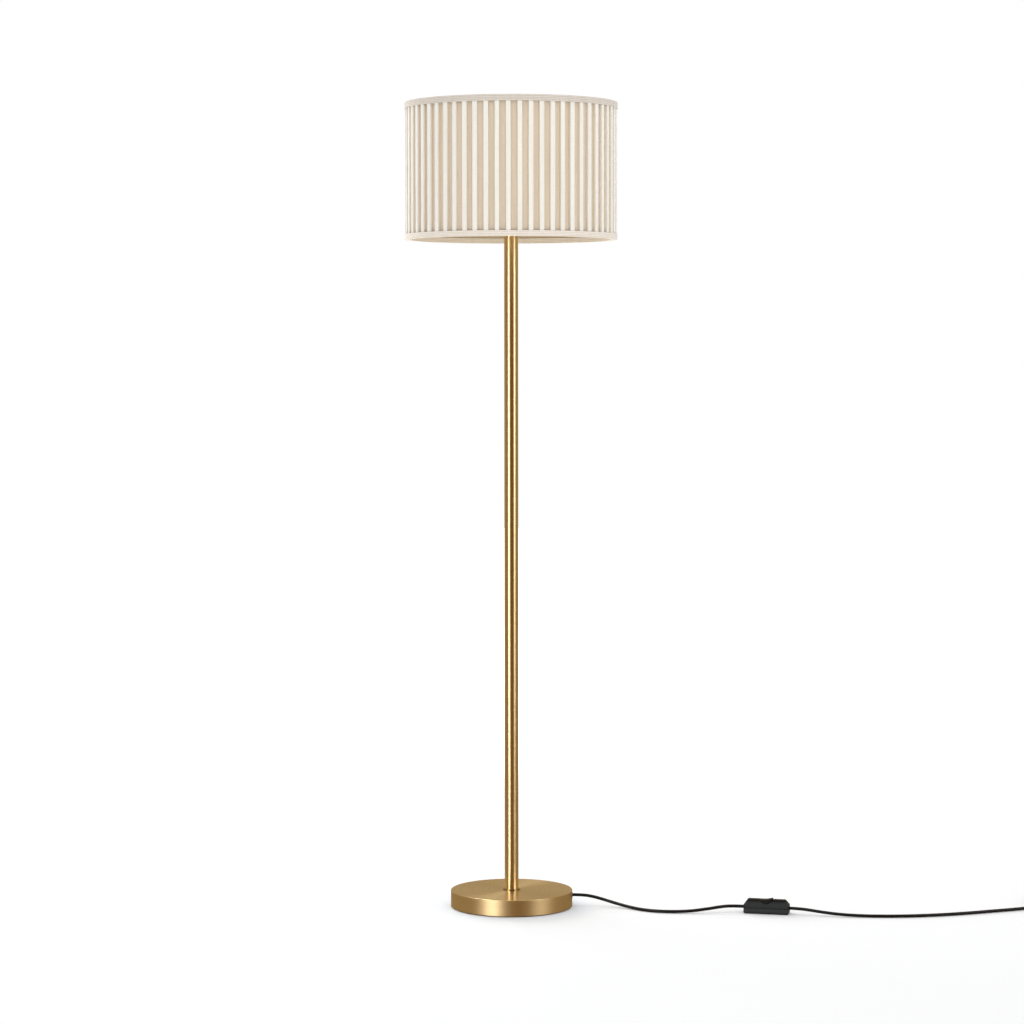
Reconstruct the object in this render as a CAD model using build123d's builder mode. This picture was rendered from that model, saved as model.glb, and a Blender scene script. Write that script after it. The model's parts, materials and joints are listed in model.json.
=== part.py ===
from build123d import *
import math
import os

os.makedirs("parts", exist_ok=True)

# A floor lamp: a weighted brass foot, a straight brass pole, a lampholder that carries a pleated
# drum shade, and a mains lead with a rocker switch on it. Millimetres, +Z up. The origin is on the
# floor on the pole's axis, and the lead leaves the foot towards +X. The front is towards -Y.

# Foot
pad_thickness = 1.5
pad_inset = 3.7
foot_radius = 115.7
foot_height = 30.1
foot_wall = 1.2
foot_edge_round = 0.9
foot_lip_chamfer = 0.4
closing_plate_thickness = 1.6
closing_plate_gap = 0.4
weight_gap = 0.6
plate_screw_circle_radius = 95.0
plate_screw_count = 3
web_thickness = 8.0
pocket_radius = 22.0
channel_gap = 1.5
channel_headroom = 0.8
rod_radius = 5.0
rod_bore_radius = 4.0
rod_clearance = 0.3
washer_radius = 14.0
washer_thickness = 2.0
nut_across_flats = 17.0
nut_height = 4.5
rod_below_nut = 1.1

# Lead
lead_radius = 3.0
lead_exit_above_foot = 19.8
lead_floor_gap = 0.3
lead_bend_radius = 12.0
lead_drop_radius = 40.0
lead_drop_start = 76.0
lead_drop_end = 46.0
core_radius = 1.1
core_offset = 1.45
core_hole_radius = 1.2
grommet_flange = 0.8
grommet_inner_flange = 1.1
grommet_wall = 1.2
grommet_overhang = 0.8
grommet_inner_overhang = 1.3
clamp_distance = 95.0
clamp_length = 14.0
clamp_width = 32.0
clamp_thickness = 5.0
clamp_margin = 1.0
clamp_screw_distance = 22.0

# Pole
pole_radius = 13.15
pole_wall = 1.5
pole_length = 1256.6
collar_radius = 16.5
collar_height = 1.8
bush_length = 16.0
bush_flange = 1.5
rod_below_bush_top = 2.0
thread_clearance = 0.05

# Screws: head radius, head height, shank radius, length
plate_screw = (2.75, 1.3, 1.5, 12.0)
clamp_screw = (2.8, 1.8, 1.5, 12.0)
terminal_screw = (1.6, 1.2, 1.0, 3.5)
housing_screw = (2.4, 1.5, 1.2, 13.0)
bar_screw = (1.7, 1.3, 1.0, 13.0)
drive_width = 0.7
drive_share = 0.5
tapped_extra = 0.6

# Lampholder, measured up from the pole's top
nipple_below = 10.0
nipple_above = 9.0
cap_neck_radius = 9.5
cap_neck_height = 6.0
cap_shoulder_height = 15.0
cap_radius = 20.6
cap_wall = 2.0
cap_height = 26.0
cap_floor = 2.8
spigot_height = 6.0
spigot_gap = 0.1
skirt_radius = 19.8
skirt_wall = 1.9
skirt_height = 36.0
thread_pitch = 2.5
thread_depth = 0.6
thread_turns = 12
insulator_gap = 0.3
insulator_disc = 10.0
insulator_cup = 27.0
insulator_wall = 2.8
shell_gap = 0.4
shell_thickness = 0.5
shell_height = 24.0
contact_width = 5.0
contact_thickness = 0.6
contact_rise = 2.9
contact_tip_reach = 2.5
terminal_distance = 11.0
terminal_size = 7.0
terminal_height = 5.5
terminal_hole_depth = 4.0
stud_radius = 1.5
holder_core_rise = 9.9
holder_core_step = 2.0
shade_ring_radius = 26.0
shade_ring_flange = 2.5
shade_ring_height = 8.0
shade_ring_collar = 23.0
shade_ring_clearance = 0.2
fitter_height = 38.0
fitter_play = 0.2

# Bulb
bulb_length = 108.0
bulb_radius = 30.0
bulb_glass = 1.0
bulb_neck_radius = 13.6
bulb_cap_length = 26.5
bulb_cap_radius = 13.1
bulb_cap_wall = 0.5
bulb_thread_start = 5.5
bulb_thread_depth = 1.0
bulb_thread_pitch = 3.63
bulb_thread_turns = 4
bulb_contact_gap = 0.1
bulb_contact_radius = 4.8
bulb_contact_height = 1.6
bulb_contact_bevel = 0.8
bulb_stem_radius = 3.0
bulb_stem_height = 66.0
filament_count = 4
filament_radius = 0.9
filament_distance = 9.0
filament_length = 34.0

# Shade
shade_below_pole_top = 23.5
shade_height = 256.6
band_radius = 200.5
band_thickness = 0.5
bottom_band_height = 10.5
top_band_height = 12.0
band_depth = 12.9
fold_gap = 0.1
pleat_count = 60
band_gap = 0.2
pleat_depth = 5.8
pleat_width = 9.4
pleat_side_run = 0.9
pleat_first_angle = -91.45
fabric_thickness = 0.6
liner_gap = 0.2
liner_thickness = 0.6
wire_radius = 1.8
wire_gap = 0.4
arm_count = 3
arm_first_angle = -90.0
arm_rise = 26.0
arm_drop = 3.0
arm_shoulder = 40.0
arm_bend_radius = 14.0
arm_overlap = 1.5
fitter_bore_radius = 20.6
fitter_ring_radius = 31.0
fitter_ring_thickness = 1.6

# Switch, in its own frame: X along the lead, Y across, Z up
switch_place = (480.4, -73.5)
switch_turn = -13.0
switch_length = 85.0
switch_width = 29.0
switch_corner = 4.0
switch_wall = 2.2
switch_floor = 2.0
switch_ridge = 16.5
switch_height = 26.0
switch_slope_run = 7.0
switch_top_corner = 2.5
switch_entry = 10.8
switch_base_round = 2.5
switch_edge_round = 1.5
entry_clearance = 0.1
rocker_opening_length = 30.8
rocker_opening_width = 26.0
rocker_length = 27.8
rocker_width = 24.4
rocker_swing = 11.0
rocker_flush = 0.2
rocker_underside = 3.0
pivot_height = 14.5
pivot_radius = 1.25
pivot_clearance = 0.05
pivot_inner_end = 8.5
pivot_outer_end = 13.8
cheek_inside = 9.0
cheek_thickness = 2.6
cheek_radius = 2.9
plunger_radius = 1.2
plunger_reach = 6.6
plunger_length = 5.6
plunger_clearance = 0.15
boss_radius = 2.7
boss_reach = 2.0
spring_wire_radius = 0.2
spring_turns = 4
bridge_length = 18.0
bridge_width = 5.0
bridge_thickness = 0.6
bridge_height = 7.3
bridge_ratio = 0.7
fulcrum_radius = 0.4
fulcrum_width = 3.0
button_radius = 1.5
button_height = 0.6
button_distance = 7.5
contact_gap = 0.12
strap_thickness = 0.8
strap_width = 5.0
block_distance = 17.0
block_side = -5.0
block_size = 6.0
block_height = 7.0
block_core_height = 3.5
support_distance = 36.0
support_width = 15.0
support_length = 5.0
bar_thickness = 3.0
bar_screw_distance = 10.6
post_distance = 27.0
post_side = -9.5
post_radius = 3.0
post_seat = 2.2
sheath_inside = 12.5
neutral_side = 6.5
core_straight = 3.5
neutral_straight = 9.0
join_depth = 0.5

# Plug, in its own frame: X from the strain relief's small end towards the pins
plug_place = (1062.0, 92.0)
plug_turn = 102.0
plug_thickness = 13.7
plug_width = 35.3
plug_length = 36.0
plug_neck_width = 13.0
plug_shoulder = 16.0
plug_side_round = 4.0
plug_edge_round = 2.0
relief_length = 24.0
relief_small_radius = 3.9
relief_large_radius = 5.6
relief_groove_count = 4
relief_groove_depth = 0.7
relief_groove_width = 1.8
pin_radius = 2.0
pin_root_radius = 1.5
pin_root_depth = 12.0
pin_length = 19.0
pin_spacing = 18.6
sleeve_length = 10.0
sleeve_inset = 0.05

# Where the free lead lies: from the foot's edge to the switch, and from there to the coil
lead_exit_run = 19.5
first_lie = [
    (158, -1, 17.6),
    (180, -5, 11.6),
    (203, -16.5, 6.4),
    (228, -36, lead_radius),
    (258, -64.5, lead_radius),
    (296, -76, lead_radius),
    (334, -75.5, 3.6),
    (372, -72.5, 8),
    (398, -66.5, 11.2),
]
second_lie = [
    (576, -100, 7.4),
    (612, -111.5, 4.4),
    (652, -117.8, lead_radius),
    (700, -122.2, lead_radius),
    (752, -118.8, lead_radius),
    (806, -108, lead_radius),
    (860, -90.5, lead_radius),
    (908, -71, lead_radius),
    (950, -54.6, lead_radius),
]

# Coil of the lead that lies past the switch
coil_centre = (1030.0, 19.0)
coil_mean_radius = 33.0
coil_pitch = 6.8
coil_layer_turns = 2.35
coil_start_angle = -69.0
coil_layer_steps = 10
coil_climb_steps = 2
coil_lift = 1.3
coil_straight = 6.0
coil_run_in = 42.0
coil_run_out = 18.0
switch_run = 22.0
plug_run = 20.0
tie_angle = 135.0
tie_width = 10.0
tie_thickness = 0.8
tie_gap = 0.4

# Levels and sizes that follow from the ones above
foot_bottom = pad_thickness
foot_top = foot_bottom + foot_height
weight_bottom = foot_bottom + closing_plate_thickness
weight_top = foot_top - foot_wall
weight_radius = foot_radius - foot_wall - weight_gap
plate_radius = foot_radius - foot_wall - closing_plate_gap
pocket_top = weight_top - web_thickness
nut_bottom = pocket_top - washer_thickness - nut_height
rod_bottom = nut_bottom - rod_below_nut
rod_hole_radius = rod_radius + rod_clearance
tapped_radius = rod_radius + thread_clearance
lead_exit_x = foot_radius + grommet_flange
lead_exit_height = foot_bottom + lead_exit_above_foot
lead_low_height = weight_bottom + lead_floor_gap + lead_radius
channel_top = lead_exit_height + lead_radius + channel_headroom
clamp_top = lead_exit_height - lead_radius
grommet_bore = lead_radius + entry_clearance
grommet_radius = grommet_bore + grommet_wall
pole_bottom = foot_top + collar_height
pole_top = pole_bottom + pole_length
pole_bore = pole_radius - pole_wall
rod_top = pole_bottom + bush_length - rod_below_bush_top
cap_bottom = pole_top + bush_flange
cap_top = pole_top + cap_height
disc_bottom = cap_top - spigot_height
disc_top = disc_bottom + insulator_disc
skirt_top = cap_top + skirt_height
skirt_bore = skirt_radius - skirt_wall
insulator_radius = skirt_bore - insulator_gap
cup_bore = insulator_radius - insulator_wall
shell_radius = cup_bore - shell_gap
fitter_bottom = pole_top + fitter_height
fitter_top = fitter_bottom + fitter_ring_thickness
bulb_bottom = disc_top + contact_rise + bulb_contact_gap
bulb_cap_top = bulb_bottom + bulb_cap_length
bulb_top = bulb_bottom + bulb_length
bulb_centre = bulb_top - bulb_radius
shade_bottom = pole_top - shade_below_pole_top
shade_top = shade_bottom + shade_height
band_inner_radius = band_radius - band_depth
pleat_radius = band_radius - band_thickness - band_gap
pleat_floor_radius = pleat_radius - pleat_depth
liner_radius = pleat_floor_radius - fabric_thickness - liner_gap
wire_ring_radius = liner_radius - liner_thickness - wire_gap - wire_radius
bottom_wire_height = shade_bottom + band_thickness + fold_gap + wire_radius
top_wire_height = shade_top - band_thickness - fold_gap - wire_radius
rocker_tilt = rocker_swing / 2
bridge_tilt = rocker_tilt * bridge_ratio
coil_layer_angle = 360 * coil_layer_turns
coil_angle = 2 * coil_layer_angle + 180
coil_bottom = lead_radius + coil_lift
coil_outer_radius = coil_mean_radius + coil_pitch * coil_layer_turns / 2
switch_location = Location((*switch_place, 0), (0, 0, switch_turn))
plug_location = Location((*plug_place, plug_thickness / 2), (0, 0, plug_turn))
upright = (Align.CENTER, Align.CENTER, Align.MIN)


def turned(profile):
    """A solid of revolution round the Z axis, from its (radius, height) corners."""
    with BuildPart() as piece:
        with BuildSketch(Plane.XZ):
            with BuildLine():
                Polyline(*profile, close=True)
            make_face()
        revolve(axis=Axis.Z)
    return piece


def turned_ring(bottom, height, outer, inner):
    """A plain ring or tube round the pole's axis."""
    with BuildPart() as piece:
        with BuildSketch(Plane.XY.offset(bottom)):
            Circle(outer)
            Circle(inner, mode=Mode.SUBTRACT)
        extrude(amount=height)
    return piece


def slotted_screw(size, sunk=False):
    """A slotted screw, with the outer face of its head at the origin and its point towards +Z."""
    head_radius, head_height, shank_radius, length = size
    profile = [(0, 0), (head_radius, 0)]
    if not sunk:
        profile.append((head_radius, head_height))
    profile += [(shank_radius, head_height), (shank_radius, length), (0, length)]
    with BuildPart() as piece:
        add(turned(profile).part)
        Box(3 * head_radius, drive_width, 2 * drive_share * head_height, mode=Mode.SUBTRACT)
    return piece.part


def tube_along(points, radii, radius):
    """A round tube along straight runs joined by tangent arcs."""
    start = Vector(points[0])
    with BuildPart() as piece:
        with BuildLine():
            FilletPolyline(*points, radius=radii)
        with BuildSketch(Plane(origin=start, z_dir=Vector(points[1]) - start)):
            Circle(radius)
        sweep()
    return piece


def free_lead(name, points):
    """A free stretch of the lead, with every corner rounded as wide as its runs allow."""
    corners = [Vector(point) for point in points]
    radii = []
    for before, here, after in zip(corners, corners[1:], corners[2:]):
        shorter = min((here - before).length, (after - here).length)
        half_turn = math.radians((here - before).get_angle(after - here)) / 2
        radii.append(0.45 * shorter / math.tan(half_turn))
    piece = tube_along(points, radii, lead_radius)
    length = piece.part.volume / (math.pi * lead_radius**2)
    print(name, "length", round(length, 1), "bend radii", [round(radius) for radius in radii])
    return piece


# Foot pad and closing plate
with BuildPart() as foot_pad:
    Cylinder(foot_radius - pad_inset, pad_thickness, align=upright)

with BuildPart() as closing_plate_screws:
    with Locations((0, 0, foot_bottom)):
        with PolarLocations(plate_screw_circle_radius, plate_screw_count, 180 / plate_screw_count):
            add(slotted_screw(plate_screw, sunk=True))

with BuildPart() as closing_plate:
    with Locations((0, 0, foot_bottom)):
        Cylinder(plate_radius, closing_plate_thickness, align=upright)
        with PolarLocations(plate_screw_circle_radius, plate_screw_count, 180 / plate_screw_count):
            add(turned([
                (0, 0),
                (plate_screw[0], 0),
                (plate_screw[2], plate_screw[1]),
                (plate_screw[2], closing_plate_thickness),
                (0, closing_plate_thickness),
            ]).part, mode=Mode.SUBTRACT)

# Cast weight, with a pocket for the nut, a channel for the lead and recesses for what holds it
with BuildPart() as foot_weight:
    with Locations((0, 0, weight_bottom)):
        Cylinder(weight_radius, weight_top - weight_bottom, align=upright)
        Cylinder(pocket_radius, pocket_top - weight_bottom, align=upright, mode=Mode.SUBTRACT)
        Cylinder(rod_hole_radius, 2 * foot_height, align=upright, mode=Mode.SUBTRACT)
        Box(
            2 * foot_radius,
            2 * (lead_radius + channel_gap),
            channel_top - weight_bottom,
            align=(Align.MIN, Align.CENTER, Align.MIN),
            mode=Mode.SUBTRACT,
        )
    with Locations((clamp_distance, 0, weight_bottom)):
        Box(
            clamp_length + 2 * clamp_margin,
            clamp_width + 2 * clamp_margin,
            clamp_top - weight_bottom,
            align=upright,
            mode=Mode.SUBTRACT,
        )
    with Locations((foot_radius - foot_wall, 0, weight_bottom)):
        Box(
            4 * grommet_inner_flange,
            2 * (grommet_radius + grommet_inner_overhang) + 2 * clamp_margin,
            weight_top - weight_bottom - channel_gap,
            align=(Align.MAX, Align.CENTER, Align.MIN),
            mode=Mode.SUBTRACT,
        )
    with Locations((0, 0, weight_bottom)):
        with PolarLocations(plate_screw_circle_radius, plate_screw_count, 180 / plate_screw_count):
            Cylinder(
                plate_screw[2],
                plate_screw[3] - closing_plate_thickness + tapped_extra,
                align=upright,
                mode=Mode.SUBTRACT,
            )
    with Locations((clamp_distance, 0, clamp_top)):
        with GridLocations(0, clamp_screw_distance, 1, 2):
            Cylinder(
                clamp_screw[2],
                clamp_screw[3] - clamp_screw[1] - clamp_thickness + tapped_extra,
                align=upright,
                mode=Mode.SUBTRACT,
            )

# Brass cover, drawn over the weight
with BuildPart() as foot_cover:
    with Locations((0, 0, foot_bottom)):
        Cylinder(foot_radius, foot_height, align=upright)
    fillet(foot_cover.edges().group_by(Axis.Z)[-1], foot_edge_round)
    chamfer(foot_cover.edges().group_by(Axis.Z)[0], foot_lip_chamfer)
    with Locations((0, 0, foot_bottom)):
        Cylinder(
            foot_radius - foot_wall, foot_height - foot_wall, align=upright, mode=Mode.SUBTRACT
        )
        Cylinder(rod_hole_radius, 2 * foot_height, align=upright, mode=Mode.SUBTRACT)
    with BuildSketch(Plane.YZ.offset(foot_radius / 2)):
        with Locations((0, lead_exit_height)):
            Circle(grommet_radius)
    extrude(amount=foot_radius, mode=Mode.SUBTRACT)

# Grommet in the cover's side: a flange on each side of the wall and a sleeve through it
with BuildPart() as lead_grommet:
    with BuildSketch(Plane.YZ.offset(lead_exit_x - grommet_flange)):
        with Locations((0, lead_exit_height)):
            Circle(grommet_radius + grommet_overhang)
    extrude(amount=grommet_flange)
    with BuildSketch(Plane.YZ.offset(foot_radius - foot_wall)):
        with Locations((0, lead_exit_height)):
            Circle(grommet_radius + grommet_inner_overhang)
    extrude(amount=-grommet_inner_flange)
    with BuildSketch(Plane.YZ.offset(foot_radius - foot_wall)):
        with Locations((0, lead_exit_height)):
            Circle(grommet_radius)
    extrude(amount=foot_wall)
    with BuildSketch(Plane.YZ.offset(lead_exit_x)):
        with Locations((0, lead_exit_height)):
            Circle(grommet_bore)
    extrude(amount=-foot_radius / 2, mode=Mode.SUBTRACT)
    add(foot_cover.part, mode=Mode.SUBTRACT)

# Clamp that holds the lead inside the foot
with BuildPart() as lead_clamp_bar:
    with Locations((clamp_distance, 0, clamp_top)):
        Box(
            clamp_length,
            clamp_width,
            clamp_thickness,
            align=(Align.CENTER, Align.CENTER, Align.MAX),
        )
        with GridLocations(0, clamp_screw_distance, 1, 2):
            Cylinder(clamp_screw[2], 3 * clamp_thickness, mode=Mode.SUBTRACT)

with BuildPart() as lead_clamp_screws:
    with Locations((clamp_distance, 0, clamp_top - clamp_thickness - clamp_screw[1])):
        with GridLocations(0, clamp_screw_distance, 1, 2):
            add(slotted_screw(clamp_screw))

# Hollow rod, nut and washer that pull the pole down on the foot
threaded_rod = turned_ring(rod_bottom, rod_top - rod_bottom, rod_radius, rod_bore_radius)
foot_washer = turned_ring(
    pocket_top - washer_thickness, washer_thickness, washer_radius, rod_hole_radius
)

with BuildPart() as foot_nut:
    with BuildSketch(Plane.XY.offset(nut_bottom)):
        RegularPolygon(nut_across_flats / 2, 6, major_radius=False)
        Circle(rod_radius, mode=Mode.SUBTRACT)
    extrude(amount=nut_height)

# Collar, pole and the threaded bushes in its ends
foot_collar = turned_ring(foot_top, collar_height, collar_radius, rod_hole_radius)
pole_foot_bush = turned_ring(pole_bottom, bush_length, pole_bore, tapped_radius)
pole = turned_ring(pole_bottom, pole_length, pole_radius, pole_bore)

pole_top_bush = turned([
    (tapped_radius, pole_top - bush_length),
    (pole_bore, pole_top - bush_length),
    (pole_bore, pole_top),
    (pole_radius, pole_top),
    (pole_radius, cap_bottom),
    (tapped_radius, cap_bottom),
])

# The lead inside the lamp: through the foot, round the bend and up to the lampholder
lead_inside = tube_along(
    [
        (lead_exit_x, 0, lead_exit_height),
        (lead_drop_start, 0, lead_exit_height),
        (lead_drop_end, 0, lead_low_height),
        (0, 0, lead_low_height),
        (0, 0, pole_top + lead_radius),
    ],
    [lead_drop_radius, lead_drop_radius, lead_bend_radius],
    lead_radius,
)

# Lampholder: nipple, cap, terminals, insulator, contacts and threaded skirt
holder_nipple = turned_ring(
    pole_top - nipple_below, nipple_below + nipple_above, rod_radius, rod_bore_radius
)

holder_cap = turned([
    (tapped_radius, cap_bottom),
    (cap_neck_radius, cap_bottom),
    (cap_neck_radius, pole_top + cap_neck_height),
    (cap_radius, pole_top + cap_shoulder_height),
    (cap_radius, cap_top),
    (cap_radius - cap_wall, cap_top),
    (cap_radius - cap_wall, pole_top + cap_shoulder_height + 0.6 * cap_wall),
    (cap_neck_radius, pole_top + cap_neck_height + cap_floor),
    (tapped_radius, pole_top + cap_neck_height + cap_floor),
])

with BuildPart() as holder_terminals:
    with Locations((0, 0, disc_bottom - terminal_height)):
        with GridLocations(2 * terminal_distance, 0, 2, 1):
            Box(terminal_size, terminal_size, terminal_height, align=upright)
            Cylinder(stud_radius, terminal_height + insulator_disc, align=upright)
            Cylinder(core_hole_radius, terminal_hole_depth, align=upright, mode=Mode.SUBTRACT)

with BuildPart() as holder_cores:
    for side in (-1, 1):
        core = tube_along(
            [
                (side * core_offset, 0, pole_top + lead_radius),
                (side * core_offset, 0, pole_top + holder_core_rise),
                (side * terminal_distance, 0, pole_top + holder_core_rise + holder_core_step),
                (
                    side * terminal_distance,
                    0,
                    disc_bottom - terminal_height + 0.8 * terminal_hole_depth,
                ),
            ],
            2 * core_radius,
            core_radius,
        )
        add(core.part)

with BuildPart() as holder_insulator:
    with Locations((0, 0, disc_bottom)):
        Cylinder(insulator_radius, insulator_disc + insulator_cup, align=upright)
        with GridLocations(2 * terminal_distance, 0, 2, 1):
            Cylinder(
                stud_radius + thread_clearance,
                insulator_disc + insulator_cup,
                align=upright,
                mode=Mode.SUBTRACT,
            )
    with Locations((0, 0, disc_top)):
        Cylinder(cup_bore, insulator_cup, align=upright, mode=Mode.SUBTRACT)

with BuildPart() as holder_screw_shell:
    with BuildSketch(Plane.XY.offset(disc_top)):
        Circle(shell_radius)
        Circle(shell_radius - shell_thickness, mode=Mode.SUBTRACT)
    extrude(amount=shell_height)
    with Locations((terminal_distance - stud_radius, 0, disc_top)):
        Box(
            shell_radius - shell_thickness / 2 - terminal_distance + stud_radius,
            contact_width,
            contact_thickness,
            align=(Align.MIN, Align.CENTER, Align.MIN),
        )

with BuildPart() as holder_contact:
    with BuildSketch(Plane.XZ):
        with BuildLine():
            Polyline(
                (-terminal_distance - stud_radius, disc_top),
                (-0.65 * terminal_distance, disc_top),
                (-0.15 * terminal_distance, disc_top + contact_rise - contact_thickness),
                (contact_tip_reach, disc_top + contact_rise - contact_thickness),
                (contact_tip_reach, disc_top + contact_rise),
                (-0.16 * terminal_distance, disc_top + contact_rise),
                (-0.66 * terminal_distance, disc_top + contact_thickness),
                (-terminal_distance - stud_radius, disc_top + contact_thickness),
                close=True,
            )
        make_face()
    extrude(amount=contact_width / 2, both=True)

# The skirt's thread is drawn as separate grooves
skirt_profile = [
    (skirt_bore, disc_bottom),
    (cap_radius - cap_wall - spigot_gap, disc_bottom),
    (cap_radius - cap_wall - spigot_gap, cap_top),
    (skirt_radius, cap_top),
]
for turn in range(thread_turns):
    groove = skirt_top - 0.8 * thread_pitch - (thread_turns - turn) * thread_pitch
    skirt_profile += [
        (skirt_radius, groove),
        (skirt_radius - thread_depth, groove + 0.25 * thread_pitch),
        (skirt_radius - thread_depth, groove + 0.5 * thread_pitch),
        (skirt_radius, groove + 0.75 * thread_pitch),
    ]
skirt_profile += [(skirt_radius, skirt_top), (skirt_bore, skirt_top)]
holder_skirt = turned(skirt_profile)

# Two shade rings on the skirt, with the shade's fitter between them
lower_shade_ring = turned([
    (skirt_radius + shade_ring_clearance, fitter_bottom - shade_ring_height),
    (shade_ring_collar, fitter_bottom - shade_ring_height),
    (shade_ring_collar, fitter_bottom - shade_ring_flange),
    (shade_ring_radius, fitter_bottom - shade_ring_flange),
    (shade_ring_radius, fitter_bottom),
    (skirt_radius + shade_ring_clearance, fitter_bottom),
])
upper_shade_ring = turned([
    (skirt_radius + shade_ring_clearance, fitter_top + fitter_play),
    (shade_ring_radius, fitter_top + fitter_play),
    (shade_ring_radius, fitter_top + fitter_play + shade_ring_flange),
    (shade_ring_collar, fitter_top + fitter_play + shade_ring_flange),
    (shade_ring_collar, fitter_top + fitter_play + shade_ring_height),
    (skirt_radius + shade_ring_clearance, fitter_top + fitter_play + shade_ring_height),
])

# Bulb: tip, insulator, screw cap, glass, stem and filaments
bulb_tip = turned([
    (0, bulb_bottom),
    (bulb_contact_radius - bulb_contact_bevel, bulb_bottom),
    (bulb_contact_radius, bulb_bottom + bulb_contact_height / 2),
    (bulb_contact_radius, bulb_bottom + bulb_contact_height),
    (0, bulb_bottom + bulb_contact_height),
])
bulb_insulator = turned([
    (0, bulb_bottom + bulb_contact_height),
    (bulb_contact_radius + bulb_contact_bevel, bulb_bottom + bulb_contact_height),
    (bulb_cap_radius - bulb_thread_depth, bulb_bottom + bulb_thread_start),
    (0, bulb_bottom + bulb_thread_start),
])

cap_outside = []
for turn in range(bulb_thread_turns):
    start = bulb_bottom + bulb_thread_start + turn * bulb_thread_pitch
    cap_outside += [
        (bulb_cap_radius - bulb_thread_depth, start),
        (bulb_cap_radius, start + 0.35 * bulb_thread_pitch),
        (bulb_cap_radius, start + 0.65 * bulb_thread_pitch),
    ]
cap_outside += [
    (
        bulb_cap_radius - bulb_thread_depth,
        bulb_bottom + bulb_thread_start + bulb_thread_turns * bulb_thread_pitch,
    ),
    (bulb_neck_radius, bulb_cap_top - 0.1 * bulb_cap_length),
    (bulb_neck_radius, bulb_cap_top),
]
cap_inside = [(radius - bulb_cap_wall, height) for radius, height in reversed(cap_outside)]
bulb_cap = turned(cap_outside + cap_inside)


def globe_half(inset):
    """Half of the bulb's outline, as a face between the axis and the glass."""
    slope = math.radians(30)
    radius = bulb_radius - inset
    with BuildSketch(Plane.XZ) as half:
        with BuildLine():
            shoulder = (radius * math.cos(slope), bulb_centre - radius * math.sin(slope))
            Line((0, bulb_cap_top), (bulb_neck_radius - inset, bulb_cap_top))
            Spline(
                (bulb_neck_radius - inset, bulb_cap_top),
                shoulder,
                tangents=((0, 1), (math.sin(slope), math.cos(slope))),
            )
            ThreePointArc(
                shoulder,
                (radius * math.cos(slope), bulb_centre + radius * math.sin(slope)),
                (0, bulb_centre + radius),
            )
            Line((0, bulb_centre + radius), (0, bulb_cap_top))
        make_face()
    return half.sketch


with BuildPart() as bulb_globe:
    add(globe_half(0))
    revolve(axis=Axis.Z)
    add(globe_half(bulb_glass))
    revolve(axis=Axis.Z, mode=Mode.SUBTRACT)

bulb_stem = turned([
    (0, bulb_cap_top),
    (bulb_neck_radius - bulb_glass, bulb_cap_top),
    (bulb_neck_radius - bulb_glass, bulb_cap_top + bulb_glass),
    (bulb_stem_radius, bulb_cap_top + 0.25 * bulb_stem_height),
    (bulb_stem_radius, bulb_cap_top + bulb_stem_height),
    (0, bulb_cap_top + bulb_stem_height),
])

filament_top = bulb_cap_top + bulb_stem_height - bulb_stem_radius
filament = tube_along(
    [
        (0, 0, filament_top),
        (filament_distance, 0, filament_top - bulb_stem_radius),
        (filament_distance, 0, filament_top - filament_length),
        (0, 0, filament_top - filament_length - bulb_stem_radius),
    ],
    1.5 * filament_radius,
    filament_radius,
)
with BuildPart() as bulb_filaments:
    with PolarLocations(0, filament_count, 180 / filament_count):
        add(filament.part)
    add(bulb_stem.part, mode=Mode.SUBTRACT)

# Shade frame: fitter ring, three arms and a wire ring in each end
fitter_ring = turned_ring(
    fitter_bottom, fitter_ring_thickness, fitter_ring_radius, fitter_bore_radius
)

with BuildPart() as wire_rings:
    with Locations((0, 0, bottom_wire_height), (0, 0, top_wire_height)):
        Torus(wire_ring_radius, wire_radius)

fitter_arm = tube_along(
    [
        (fitter_ring_radius - arm_overlap, 0, fitter_bottom + fitter_ring_thickness / 2),
        (wire_ring_radius - arm_shoulder, 0, fitter_bottom - arm_drop),
        (wire_ring_radius, 0, bottom_wire_height + arm_rise),
        (wire_ring_radius, 0, bottom_wire_height),
    ],
    arm_bend_radius,
    wire_radius,
)
with BuildPart() as fitter_arms:
    with PolarLocations(0, arm_count, arm_first_angle):
        add(fitter_arm.part)
    add(fitter_ring.part, mode=Mode.SUBTRACT)
    add(wire_rings.part, mode=Mode.SUBTRACT)

shade_liner = turned_ring(
    shade_bottom + band_thickness + fold_gap,
    shade_height - 2 * (band_thickness + fold_gap),
    liner_radius,
    liner_radius - liner_thickness,
)


def pleat_outline(inset):
    """One side of the pleated sheet as a face, moved inwards by the inset."""
    crown = pleat_radius - inset
    floor = pleat_floor_radius - inset
    crown_half = math.degrees((pleat_width / 2 - inset) / pleat_radius)
    floor_half = crown_half + math.degrees(pleat_side_run / pleat_radius)
    step = 360 / pleat_count
    with BuildSketch() as outline:
        with BuildLine():
            for pleat in range(pleat_count):
                middle = pleat_first_angle + pleat * step
                fold = CenterArc((0, 0), crown, middle - crown_half, 2 * crown_half)
                gap = CenterArc((0, 0), floor, middle + floor_half, step - 2 * floor_half)
                Line(fold @ 1, gap @ 0)
                rise = middle + step - crown_half
                Line(gap @ 1, Vector(crown, 0).rotate(Axis.Z, rise))
        make_face()
    return outline.sketch


with BuildPart() as pleated_fabric:
    with BuildSketch(Plane.XY.offset(shade_bottom + band_thickness + fold_gap)):
        add(pleat_outline(0))
        add(pleat_outline(fabric_thickness), mode=Mode.SUBTRACT)
    extrude(amount=shade_height - 2 * (band_thickness + fold_gap))


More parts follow.
